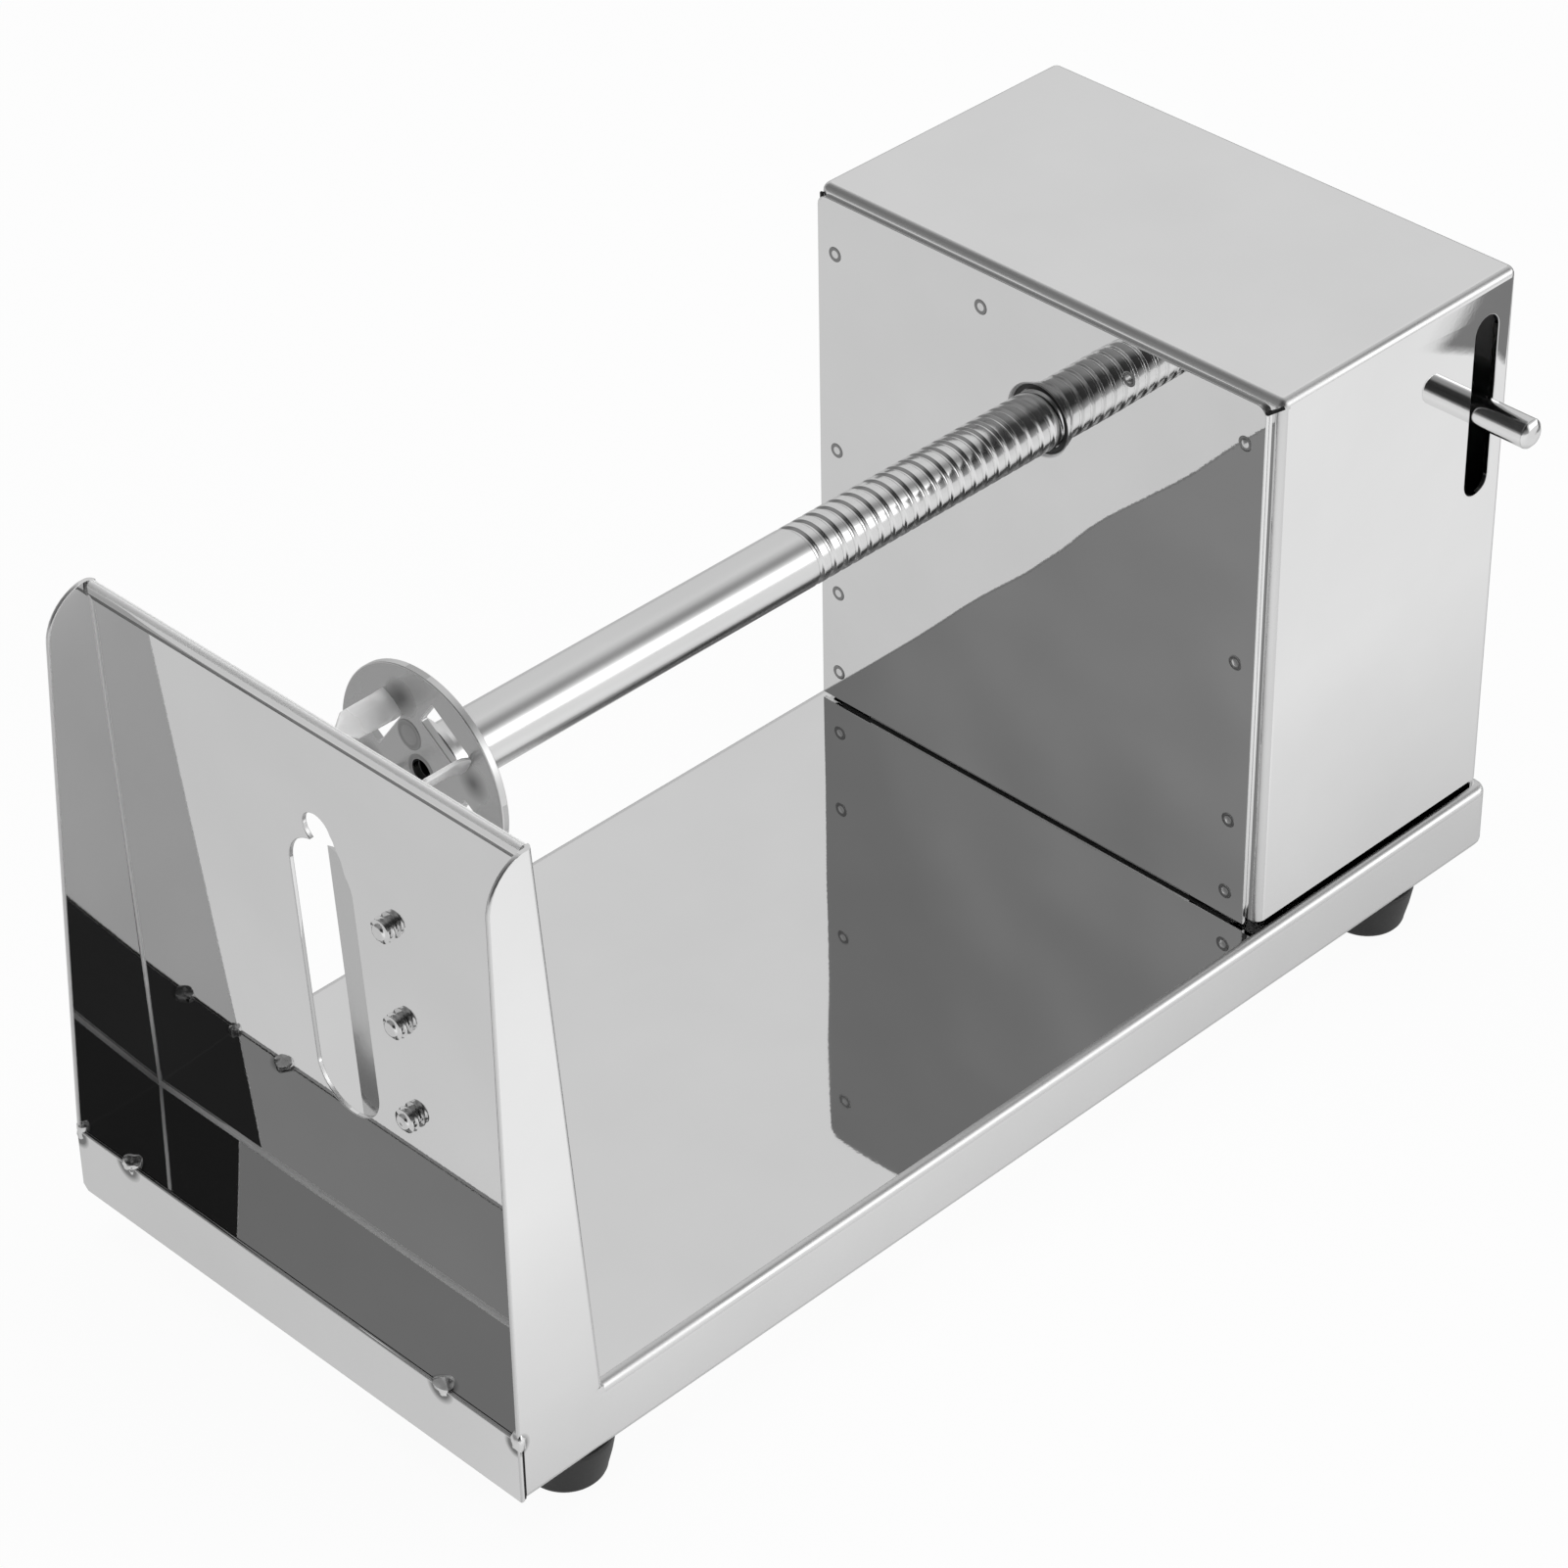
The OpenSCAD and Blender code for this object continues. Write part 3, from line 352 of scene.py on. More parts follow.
def metal(name, tone, rough, wave=0.0, grain=0.0, wave_size=0.08, grain_size=900.0,
          stretch=(1, 1, 1), tints_and_shade=(), metallic=1.0):
    """Polished or satin metal with slow waves, fine grain and dull dark patches: heat tints at welds, and
    painted shade round the prongs' roots.
    """
    material, n = new_material(name)
    place = n.add("ShaderNodeTexCoord").outputs["Object"]
    lined = n.add("ShaderNodeMapping", {"Vector": place, "Scale": stretch}).outputs[0]
    slow = n.noise(place, 1 / wave_size, 1.0)
    fine = n.noise(lined, grain_size, 2.0)
    stain = n.noise(place, 30.0, 3.0)
    roughness = n.span(stain, 0.3, 0.7, rough * 0.8, rough * 1.25)
    tint = n.span(stain, 0.2, 0.8, tone * 0.955, tone)
    for at, reach, start, depth in tints_and_shade:
        away = n.add("ShaderNodeVectorMath", {0: place, 1: at}, operation="DISTANCE").outputs["Value"]
        uneven = n.math("MULTIPLY", n.math("SUBTRACT", stain, 0.5), reach * 0.7)
        away = n.math("ADD", away, uneven)
        clean = n.span(away, reach * start, reach, 0.0, 1.0)
        tint = n.math("MULTIPLY", tint, n.math("MULTIPLY_ADD", clean, depth, 1 - depth))
        dull = n.math("MULTIPLY", n.math("SUBTRACT", 1.0, clean), 0.2)
        roughness = n.math("ADD", roughness, dull)
    colour = n.grey(tint)
    waves = n.add("ShaderNodeBump", {"Height": slow, "Strength": 1.0, "Distance": wave}).outputs[0]
    bump = n.add("ShaderNodeBump", {"Height": fine, "Strength": 1.0, "Distance": grain,
                                    "Normal": waves}).outputs[0]
    shader = n.add("ShaderNodeBsdfPrincipled", {"Base Color": colour, "Metallic": metallic,
                                                "Roughness": roughness, "Normal": bump})
    n.add("ShaderNodeOutputMaterial", {0: shader.outputs[0]})
    return material


def plastic(name, tone, rough):
    """Moulded plastic or rubber with a fine grain and a slightly uneven tone."""
    material, n = new_material(name)
    place = n.add("ShaderNodeTexCoord").outputs["Object"]
    fine = n.noise(place, 700.0, 3.0)
    cloud = n.noise(place, 60.0, 3.0)
    colour = n.grey(n.span(cloud, 0.3, 0.7, tone * 0.85, tone * 1.15))
    bump = n.add("ShaderNodeBump", {"Height": fine, "Strength": 0.4, "Distance": 0.00008}).outputs[0]
    shader = n.add("ShaderNodeBsdfPrincipled", {"Base Color": colour, "Roughness": rough, "Normal": bump})
    n.add("ShaderNodeOutputMaterial", {0: shader.outputs[0]})
    return material


# Heat tints: middle, reach, where the fading starts as a share of the reach, and strength
BURNS = [((X_FRONT * MM, y * MM, Z_BASE * MM), WELD_REACH * MM, BURN_START, BURN_DEPTH) for y in LIP_WELDS]
BURNS += [((X_FRONT * MM, side * (HALF_W - 1) * MM, (Z_BASE - 1.5) * MM), CORNER_REACH * MM,
           BURN_START, BURN_DEPTH) for side in (-1, 1)]
# Painted shade on the disc round each prong's root, where the disc is dished as the prong is pressed out;
# these patches are also a little duller
PRONG_ROOT_SHADE = [((0, ROOT_SHADE_R * MM * math.cos(a), ROOT_SHADE_R * MM * math.sin(a)), ROOT_SHADE_REACH * MM,
            ROOT_SHADE_START, ROOT_SHADE_DEPTH) for a in (math.radians(ROOT_SHADE_TURN + 90 * k) for k in range(4))]
MATERIALS = {
    "polished_sheet": metal("polished_sheet", 0.93, 0.014, wave=0.00005, grain=0.000001),
    "bent_sheet": metal("bent_sheet", 0.76, 0.3, grain=0.000006),
    # Near-white, mostly diffuse copy of the sheet: a painted highlight on the fold between base and plate
    # and on the plate's rounded top
    "painted_bend_highlight": metal("painted_bend_highlight", 0.98, 0.36, grain=0.000006, metallic=0.25),
    "tinted_sheet": metal("tinted_sheet", 0.88, 0.02, wave=0.00035, grain=0.000001, tints_and_shade=BURNS),
    "brushed_sheet": metal("brushed_sheet", 0.56, 0.24, grain=0.00002, grain_size=260.0, tints_and_shade=PRONG_ROOT_SHADE),
    # White, mostly diffuse copy of the disc's sheet for the prongs: a painted highlight
    "prong_painted_highlight": metal("prong_painted_highlight", 1.0, 0.3, grain=0.00006, grain_size=700.0, stretch=(0.04, 1, 1),
                         metallic=0.3),
    "welds": metal("welds", 0.92, 0.24, wave=0.00035, wave_size=0.0035, grain=0.00003, grain_size=500.0),
    "shaded_edge": metal("shaded_edge", 0.42, 0.4, wave=0.0004, wave_size=0.012, grain=0.00002),
    "panel_sheet": metal("panel_sheet", 0.92, 0.014, wave=0.0009, wave_size=0.07, grain=0.000001),
    # Darker copy of the sheet for the wings' inner faces: painted shade
    "wing_painted_shade": metal("wing_painted_shade", 0.53, 0.03, wave=0.00005, grain=0.000001, tints_and_shade=BURNS),
    # Near-black plastic for slivers that paint the shade in gaps and seams
    "gap": plastic("gap", 0.012, 0.6),
    "spot_ring": metal("spot_ring", 0.33, 0.3, grain=0.00001),
    "machined_steel": metal("machined_steel", 0.84, 0.17, grain=0.000008, grain_size=700.0,
                            stretch=(4, 1, 1)),
    "fasteners": metal("fasteners", 0.88, 0.12, grain=0.000008),
    "blade_steel": metal("blade_steel", 0.7, 0.12, grain=0.000003),
    "spring_steel": metal("spring_steel", 0.6, 0.2, grain=0.000003),
    "brass": metal("brass", 0.6, 0.2, grain=0.000004),
    "polymer": plastic("polymer", 0.03, 0.4),
    "foot_rubber": plastic("foot_rubber", 0.028, 0.5),
    "grip_plastic": plastic("grip_plastic", 0.03, 0.35),
}
SLOTS = {entry["node"]: entry["material_slot"] for entry in frame["record"]["subparts"]}

for node, piece in frame["nodes"].items():
    piece.data.materials.clear()
    piece.data.materials.append(MATERIALS[SLOTS[node]])


# Making of meshes

class Shape:
    """Collects the points and faces of one piece, in millimetres."""

    def __init__(self):
        self.points = []
        self.faces = []

    def add(self, points):
        first = len(self.points)
        self.points += [Vector(p) for p in points]
        return list(range(first, len(self.points)))

    def join(self, rows, closed=True):
        """Faces between rows of points that are numbered alike."""
        for a, b in zip(rows, rows[1:]):
            for k in range(len(a) if closed else len(a) - 1):
                j = (k + 1) % len(a)
                self.faces.append((a[k], a[j], b[j], b[k]))

    def loft(self, loops, closed=True):
        rows = [self.add(loop) for loop in loops]
        self.join(rows, closed)
        return rows

    def fill(self, loops):
        """A flat face with holes, from loops of point numbers."""
        flat = [k for loop in loops for k in loop]
        for triangle in tessellate_polygon([[self.points[k] for k in loop] for loop in loops]):
            self.faces.append(tuple(flat[k] for k in triangle))

    def bar(self, loops):
        """A solid through alike loops, closed at both ends."""
        rows = self.loft(loops)
        self.fill([rows[0]])
        self.fill([rows[-1]])

    def piece(self, name, body, slot, *nodes, materials=None, finish=None, sharp=50):
        """Makes the object. Finish picks a face's material by number, from its middle and its normal."""
        mesh = bpy.data.meshes.new(name)
        mesh.from_pydata([p * MM for p in self.points], [], self.faces)
        shaped = bmesh.new()
        shaped.from_mesh(mesh)
        bmesh.ops.dissolve_degenerate(shaped, dist=1e-7, edges=shaped.edges)
        bmesh.ops.recalc_face_normals(shaped, faces=shaped.faces)
        if finish:
            for face in shaped.faces:
                face.material_index = finish(face.calc_center_median() / MM, face.normal)
        shaped.to_mesh(mesh)
        shaped.free()
        for material in materials or (slot,):
            mesh.materials.append(MATERIALS[material])
        mesh.shade_smooth()
        mesh.set_sharp_from_angle(angle=math.radians(sharp))
        made = bpy.data.objects.new(name, mesh)
        bpy.context.collection.objects.link(made)
        weighted = made.modifiers.new("normals", "WEIGHTED_NORMAL")
        weighted.keep_sharp = True
        weighted.weight = 90
        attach(made, body)
        if nodes:
            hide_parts(*nodes)
        return made


def flat(normal):
    return max(abs(c) for c in normal) > 0.99


def bends(middle, normal):
    """The second material for the rounded edges between flat faces."""
    return 0 if flat(normal) else 1


def arc(x, y, r, start, end, steps=6):
    """Points on an arc, from a start angle to an end angle in degrees."""
    angles = [math.radians(start + (end - start) * k / steps) for k in range(steps + 1)]
    return [(x + r * math.cos(a), y + r * math.sin(a)) for a in angles]


def signed_area(loop):
    return sum(a[0] * b[1] - b[0] * a[1] for a, b in zip(loop, loop[1:] + loop[:1])) / 2


def ccw(loop):
    return loop if signed_area(loop) > 0 else loop[::-1]


def moved_in(loop, d):
    """The loop moved by d to the left of its travel."""
    out = []
    for k, here in enumerate(loop):
        here = Vector(here)
        before = (here - Vector(loop[k - 1])).normalized()
        after = (Vector(loop[(k + 1) % len(loop)]) - here).normalized()
        left = Vector((-before.y - after.y, before.x + after.x)).normalized()
        out.append(here + left * (d / max(0.5, left.dot(Vector((-after.y, after.x))))))
    return out


def quarter(steps):
    """Angles from 0 to a right angle."""
    return [math.pi / 2 * k / steps for k in range(steps + 1)]


def round_rim(edge, t, steps=3):
    """Rim of a sheet: pairs of inset and depth, from one face round to the other."""
    front = [(edge * (1 - math.sin(a)), edge * (1 - math.cos(a))) for a in quarter(steps)]
    return front + [(inset, t - depth) for inset, depth in reversed(front)]


def flat_sheet(shape, outer, holes, t, place, edge=EDGE, rims=None):
    """A flat sheet with holes and softened edges. Place turns (across, up, depth) into a point."""
    loops = [ccw(outer)] + [ccw(hole)[::-1] for hole in holes]
    rims = rims or {}
    fronts, backs = [], []
    for k, loop in enumerate(loops):
        rim = rims.get(k, round_rim(edge, t))
        rows = shape.loft([[place(u, v, depth) for u, v in moved_in(loop, inset)] for inset, depth in rim])
        fronts.append(rows[0])
        backs.append(rows[-1])
    shape.fill(fronts)
    shape.fill(backs)


def lathe(shape, profile, at=(0, 0, 0), axis=(1, 0, 0), steps=48, least=0.001):
    """A turned solid. The profile holds pairs of distance along the axis and radius."""
    axis = Vector(axis).normalized()
    side = axis.orthogonal().normalized()
    other = axis.cross(side)
    rows = []
    for along, r in profile:
        middle = Vector(at) + axis * along
        rows.append(shape.add([middle + (side * math.cos(a) + other * math.sin(a)) * max(r, least)
                               for a in (2 * math.pi * k / steps for k in range(steps))]))
    shape.join(rows)
    if profile[0] != profile[-1]:
        for row, (_, r) in ((rows[0], profile[0]), (rows[-1], profile[-1])):
            if r > least:
                shape.faces.append(tuple(row))


# Base

def plan(x0, x1, inset, rear_inset, r):
    """Open outline of the base seen from above, from the near front corner round the back."""
    half = HALF_W - inset
    x1 = x1 - rear_inset
    r = max(r, 0.01)
    near = arc(x1 - r, -half + r, r, -90, 0)
    far = arc(x1 - r, half - r, r, 0, 90)
    return [(x0, -half)] + near + far + [(x0, half)]


def base_tray():
    """The folded base: flanges, skirts and top, without its wings."""
    shape = Shape()

    def level(x0, inset, rear_inset, z):
        return [(x, y, z) for x, y in plan(x0, X_REAR, inset, rear_inset, CORNER - min(inset, rear_inset))]

    # Flange, lower bend and skirt, then back down inside
    outer = [(FLANGE, REAR_FLANGE, Z_SKIRT)]
    for a in quarter(4):
        inset = LOW_BEND * (1 - math.sin(a))
        outer.append((inset, inset, Z_SKIRT + LOW_BEND * (1 - math.cos(a))))
    outer.append((0, 0, WING_FOOT))
    inner = [(SHEET, SHEET, WING_FOOT), (SHEET, SHEET, Z_SKIRT + LOW_BEND),
             (LOW_BEND, LOW_BEND, Z_SKIRT + SHEET), (FLANGE, REAR_FLANGE, Z_SKIRT + SHEET)]
    rows = [shape.add(level(X_FRONT + SHEET + SEAM, *step)) for step in outer + inner]
    shape.join(rows + rows[:1], closed=False)
    for end in (0, -1):
        shape.fill([[row[end] for row in rows]])
    # Upper bend and top, behind the blade plate
    outer = [(0, 0, WING_FOOT)]
    for a in quarter(5):
        inset = BEND * (1 - math.cos(a))
        outer.append((inset, inset, Z_BASE - BEND * (1 - math.sin(a))))
    rows = [shape.add(level(PLATE_X, *step)) for step in outer]
    shape.join(rows, closed=False)
    inside = HALF_W - SHEET
    strip = shape.add([(PLATE_X, inside, Z_BASE), (X_FRONT + SHEET, inside, Z_BASE),
                       (X_FRONT + SHEET, -inside, Z_BASE), (PLATE_X, -inside, Z_BASE)])
    shape.fill([rows[-1] + strip])
    # Underside of the top
    under = Z_BASE - SHEET
    rows = [shape.add(level(X_FRONT + SHEET, SHEET, SHEET, z)) for z in (WING_FOOT, under)]
    shape.join(rows, closed=False)
    shape.fill([rows[-1]])
    return shape


def wing_y(z):
    """Distance of a wing's outside from the middle: upright at the skirt, then leaning inwards."""
    low, high = WING_BEND
    if z <= low:
        return HALF_W
    if z >= high:
        return HALF_W - WING_SLOPE * (z - (low + high) / 2)
    return HALF_W - WING_SLOPE * (z - low) ** 2 / (2 * (high - low))


def wing_front(z):
    """Front edge of a wing, with its rounded upper corner."""
    share = (z - WING_FOOT) / (PLATE_TOP - WING_FOOT)
    x = X_FRONT + WING_RUN * share
    above = z - (PLATE_TOP - WING_R)
    if above > 0:
        x += WING_R - math.sqrt(max(0, WING_R ** 2 - above ** 2))
    return x


def plate_face(z):
    """Place along the base of the plate's front face at a height."""
    return PLATE_X - max(0, z - Z_BASE) * math.tan(PLATE_LEAN)


def wing(shape, side):
    """A wing with its softened front edge, and behind it the fold that leads into the plate."""
    top, corner = WING_BEND[1], PLATE_TOP - WING_R
    heights = [WING_FOOT, Z_BASE - 1.5, Z_BASE - 0.3, Z_BASE + 0.1]
    heights += [WING_FOOT + WING_BEND_H * k / 6 for k in range(3, 7)]
    heights += [top + (corner - top) * k / 6 for k in range(1, 7)]
    heights += [corner + WING_R * math.sin(math.radians(a)) for a in WING_TURNS]
    tip, cut = WING_TIP, WING_CUT
    loops = []
    for z in heights:
        y = wing_y(z)
        middle = plate_face(z) - (FOLD_R - SHEET)
        front = min(wing_front(z), middle - 0.3) if z > Z_BASE else X_FRONT + SHEET + SEAM
        lead = [(front + tip, 0), (front + cut, cut), (front, tip), (front, SHEET - tip),
                (front + cut, SHEET - cut), (front + tip, SHEET)]
        if z > Z_BASE:
            fold = [(middle + FOLD_R * math.sin(a), FOLD_R * (1 - math.cos(a)))
                    for a in reversed(quarter(8))]
            inner_r = FOLD_R - SHEET
            back = [(middle + inner_r * math.sin(a), FOLD_R - inner_r * math.cos(a)) for a in quarter(8)]
        else:
            end = plate_face(z) + SHEET
            fold = [(end - WING_TAIL * k / 8, 0) for k in range(9)]
            back = [(end - WING_TAIL * (8 - k) / 8, SHEET) for k in range(9)]
        loops.append([(x, side * (y - depth), z) for x, depth in fold + lead + back])
    shape.bar(loops)


def on_plate(x, y, s):
    """A point given by depth behind the plate's front, place across and distance up the leaning plate."""
    return (PLATE_X + x * math.cos(PLATE_LEAN) - s * math.sin(PLATE_LEAN), y,
            Z_BASE + x * math.sin(PLATE_LEAN) + s * math.cos(PLATE_LEAN))


def slot_outline():
    """A slot with round ends that runs into the skewer's hole, with a ragged right shoulder."""
    middle = (SLOT_LEFT + SLOT_RIGHT) / 2
    r = (SLOT_LEFT - SLOT_RIGHT) / 2
    return (arc(middle, SLOT_BOTTOM + r, r, 180, 360, 24)
            + arc(middle, SLOT_TOP - r, r, 0, 78, 12)
            + arc(0, AXIS_S, PLATE_HOLE_R, -54, 165, 22)
            + [(-5.4, 118.4), (-5.9, 116.6), (-7.2, 114.2)]
            + arc(middle, SLOT_TOP - r, r, 146, 180, 6))


def blade_plate():
    """The plate, the inside of its bend at the foot and its hem."""
    shape = Shape()
    top = PLATE_H - HEM_H
    heights = [top * k / 8 for k in range(9)]
    right = [(wing_y(Z_BASE + s * math.cos(PLATE_LEAN)) - FOLD_R, s) for s in heights]
    outer = right + [(-y, s) for y, s in reversed(right)]
    flat_sheet(shape, outer, [slot_outline()], SHEET, lambda u, v, w: on_plate(w, u, v),
               rims={0: [(0, 0), (0, SHEET)]})
    # Rounded inside of the bend at the plate's foot
    foot = [(-FOOT_R + FOOT_R * math.cos(a), FOOT_R - FOOT_R * math.sin(a)) for a in quarter(6)]
    foot.append((-0.02, -0.02))
    end = wing_y(Z_BASE + 1) - SHEET - 0.05
    shape.bar([[on_plate(x, y, s) for x, s in foot] for y in (-end, end)])
    # Hem: up the plate's back, over the top and down in front, with a fine gap between its layers
    high = PLATE_H - SHEET - HEM_GAP / 2
    r = SHEET + HEM_GAP / 2
    profile = [(SHEET, top), (SHEET, high)]
    profile += [(-HEM_GAP / 2 + r * math.cos(a), high + r * math.sin(a))
                for a in (math.pi * k / 10 for k in range(1, 10))]
    low_front = -SHEET - HEM_GAP
    profile += [(low_front, high), (low_front, top + HEM_LIP), (low_front + 0.8, top),
                (-HEM_GAP - 0.2, top), (-HEM_GAP, top + 0.2)]
    profile += [(-HEM_GAP, high - 0.6), (-HEM_BORE - 0.1, high - 0.1), (-HEM_GAP / 2, high + 0.25),
                (0, high - 0.1), (0, top)]
    end = wing_y(PLATE_TOP) - FOLD_R
    shape.bar([[on_plate(x, y, s) for x, s in profile] for y in (-end, end)])
    return shape


def front_lip():
    """The strip across the front, which covers the ends of the skirt."""
    shape = Shape()
    half, cut = HALF_W, LIP_CHAMFER
    outer = [(0.3 - half, Z_SKIRT), (half - cut, Z_SKIRT), (half, Z_SKIRT + cut), (half, Z_BASE - 0.5),
             (half - 0.5, Z_BASE), (0.5 - half, Z_BASE), (-half, Z_BASE - 0.5), (-half, Z_SKIRT + 0.3)]
    flat_sheet(shape, outer, [], SHEET, lambda u, v, w: (X_FRONT + w, u, v), edge=LIP_EDGE)
    return shape


def blade():
    """The strip blade on the potato's side of the plate, ground to an edge over the slot."""
    shape = Shape()
    outline = [(3.6, -29), (3.7, -28.9), (3.7, -12.5), (3.7, -3), (2.6, 0), (2.5, 0), (1.25, -12.1),
               (SHEET, -12.3), (SHEET, -29)]
    shape.bar([[on_plate(x, y, s) for x, y in outline] for s in BLADE_ENDS])
    return shape


def blade_screw(shape, s):
    """Threaded end out in front of the plate, and a low head on the potato's side."""
    out = Vector(on_plate(-1, 0, 0)) - Vector(on_plate(0, 0, 0))
    at = on_plate(0, BLADE_Y, s)
    r = BLADE_SCREW_R
    profile = [(-4.6, 0), (-4.8, 3.0), (-4.4, 4.4), (-3.4, 5.0), (-2.4, 5.0), (-2.4, r), (0, r)]
    profile += [(0.1, 2.3), (0.4, 2.4), (0.8, 3.25), (1.1, 3.3), (1.45, 2.4), (1.75, 2.3), (2.1, 3.0),
                (2.4, 3.05), (2.7, 2.3), (2.9, 2.1), (3.2, 1.9), (3.3, 1.5), (3.2, 1.2), (3.3, 0.6),
                (3.35, 0)]
    lathe(shape, profile, at, out, 40)


def bead(shape, at, size, seed):
    """A weld bead: a lumpy flattened ball."""
    rings, steps = 10, 20
    rows = []
    for i in range(rings + 1):
        high = math.pi * i / rings
        row = []
        for j in range(steps):
            a = 2 * math.pi * j / steps
            way = Vector((math.sin(high) * math.cos(a), math.sin(high) * math.sin(a), math.cos(high)))
            lump = 1 + 0.16 * math.sin(3.1 * way.x + seed) * math.cos(4.3 * way.y - seed)
            lump += 0.1 * math.sin(7.7 * way.z + 2 * seed)
            row.append([at[k] + size[k] * way[k] * lump for k in range(3)])
        rows.append(shape.add(row))
    shape.join(rows)


def tray_finish(middle, normal):
    """Inner wing faces get painted shade, rounded edges are duller, and the inside of the fold gets a
    painted highlight.
    """
    if flat(normal):
        return 3 if middle.z > Z_BASE + 0.3 and normal.y * middle.y < -WING_SHADE_SIDE else 0
    inside = middle.z > Z_BASE and abs(middle.y) < wing_y(middle.z) - 0.9 * SHEET
    return 2 if inside and middle.x < PLATE_X + 1 else 1


def plate_finish(middle, normal):
    """The bend at the foot and the rounded top get a painted highlight, and the hem's lower edge gets
    painted shade.
    """
    if flat(normal):
        return 0
    if middle.z > PLATE_TOP - HEM_H - 1:
        return 3 if middle.z < PLATE_TOP - HEM_H + HEM_LIP else 2
    return 2 if middle.z < Z_BASE + 3 else 1


tray = base_tray()
for side in (-1, 1):
    wing(tray, side)
tray.piece("tray_skin", "frame", "polished_sheet", "base_tray",
           materials=("tinted_sheet", "bent_sheet", "painted_bend_highlight", "wing_painted_shade"), finish=tray_finish)
blade_plate().piece("plate_skin", "frame", "polished_sheet", "blade_plate",
                    materials=("polished_sheet", "bent_sheet", "painted_bend_highlight", "shaded_edge"),
                    finish=plate_finish)
front_lip().piece("lip_strip", "frame", "polished_sheet", "front_lip",
                  materials=("tinted_sheet", "bent_sheet"), finish=bends)
blade().piece("blade_strip", "frame", "blade_steel", "slicing_blade", sharp=4)
screws = Shape()
for k in range(3):
    blade_screw(screws, BLADE_S + BLADE_PITCH * k)
screws.piece("plate_screws", "frame", "fasteners", "blade_screws")
corner_beads = Shape()
for side in (-1, 1):
    bead(corner_beads, (X_FRONT + 1.2, side * (HALF_W - 1.1), Z_BASE - 0.8), (1.6, 1.7, 3.0), 1 + side)
corner_beads.piece("corner_beads", "frame", "welds", "corner_welds")
lip_beads = Shape()
for k, y in enumerate(LIP_WELDS):
    bead(lip_beads, (X_FRONT + 1.4, y, Z_BASE + 0.1), (2.3, 2.7, 1.4), 2.0 + k)
    bead(lip_beads, (X_FRONT + 0.6, y - 0.9, Z_BASE - 0.7), (1.2, 1.4, 1.7), 4.0 + k)
lip_beads.piece("lip_beads", "frame", "welds", "lip_welds")
# Black bars in the seams between the strip and the skirt: painted shade inside the seams
seam_shade = Shape()
for side in (-1, 1):
    near, far = X_FRONT + SHEET, X_FRONT + SHEET + SEAM
    outside, inside = HALF_W - 0.2, HALF_W - 1
    corners = [(near, outside), (far, outside), (far, inside), (near, inside)]
    seam_shade.bar([[(x, side * y, z) for x, y in corners] for z in (Z_SKIRT + 0.5, Z_BASE - 1.6)])
seam_shade.piece("lip_seam_shade", "frame", "polished_sheet", materials=("gap",))


# Casing

def casing():
    """Top and sides of the casing with the pin's slot, as one shell that is open below."""
    shape = Shape()

    def level(inset, z):
        x0, x1 = CASE_X0 + SHEET + inset, CASE_X1 - SHEET - inset
        half = CASE_HALF - inset
        r = max(0.01, BEND - inset)
        outline = (arc(x1 - r, -half + r, r, -90, 0) + arc(x1 - r, half - r, r, 0, 90)
                   + arc(x0 + r, half - r, r, 90, 180) + arc(x0 + r, -half + r, r, 180, 270))
        return [(x, y, z) for x, y in outline]

    outer = [(0, CASE_LOW)]
    outer += [(BEND * (1 - math.cos(a)), CASE_TOP - BEND * (1 - math.sin(a))) for a in quarter(6)]
    rows = [shape.add(level(inset, z)) for inset, z in outer]
    last = len(rows[0]) - 1
    # The near wall is left open here, because the slot goes into it
    shape.join(rows[:2], closed=False)
    shape.join(rows[1:])
    shape.fill([rows[-1]])
    # Near wall with the pin's slot
    slot = (arc(PIN_X, PIN_Z + PIN_SLOT_HALF, PIN_SLOT_R, 0, 180, 16)
            + arc(PIN_X, PIN_Z - PIN_SLOT_HALF, PIN_SLOT_R, 180, 360, 16))
    cut = ccw(slot)[::-1]
    rim = [(EDGE * (1 - math.sin(a)), EDGE * (1 - math.cos(a))) for a in (0, 0.5, 1.05, math.pi / 2)]
    rim.append((0, SHEET))
    ring = shape.loft([[(x, -CASE_HALF + depth, z) for x, z in moved_in(cut, inset)]
                       for inset, depth in rim])
    shape.fill([[rows[0][last], rows[0][0], rows[1][0], rows[1][last]], ring[0]])
    # Inside
    inner = shape.loft([level(SHEET, z) for z in (CASE_LOW, CASE_TOP - SHEET)], closed=False)
    shape.fill([inner[1]])
    shape.fill([[inner[0][last], inner[0][0], inner[1][0], inner[1][last]], ring[-1]])
    shape.join([rows[0], inner[0]])
    return shape


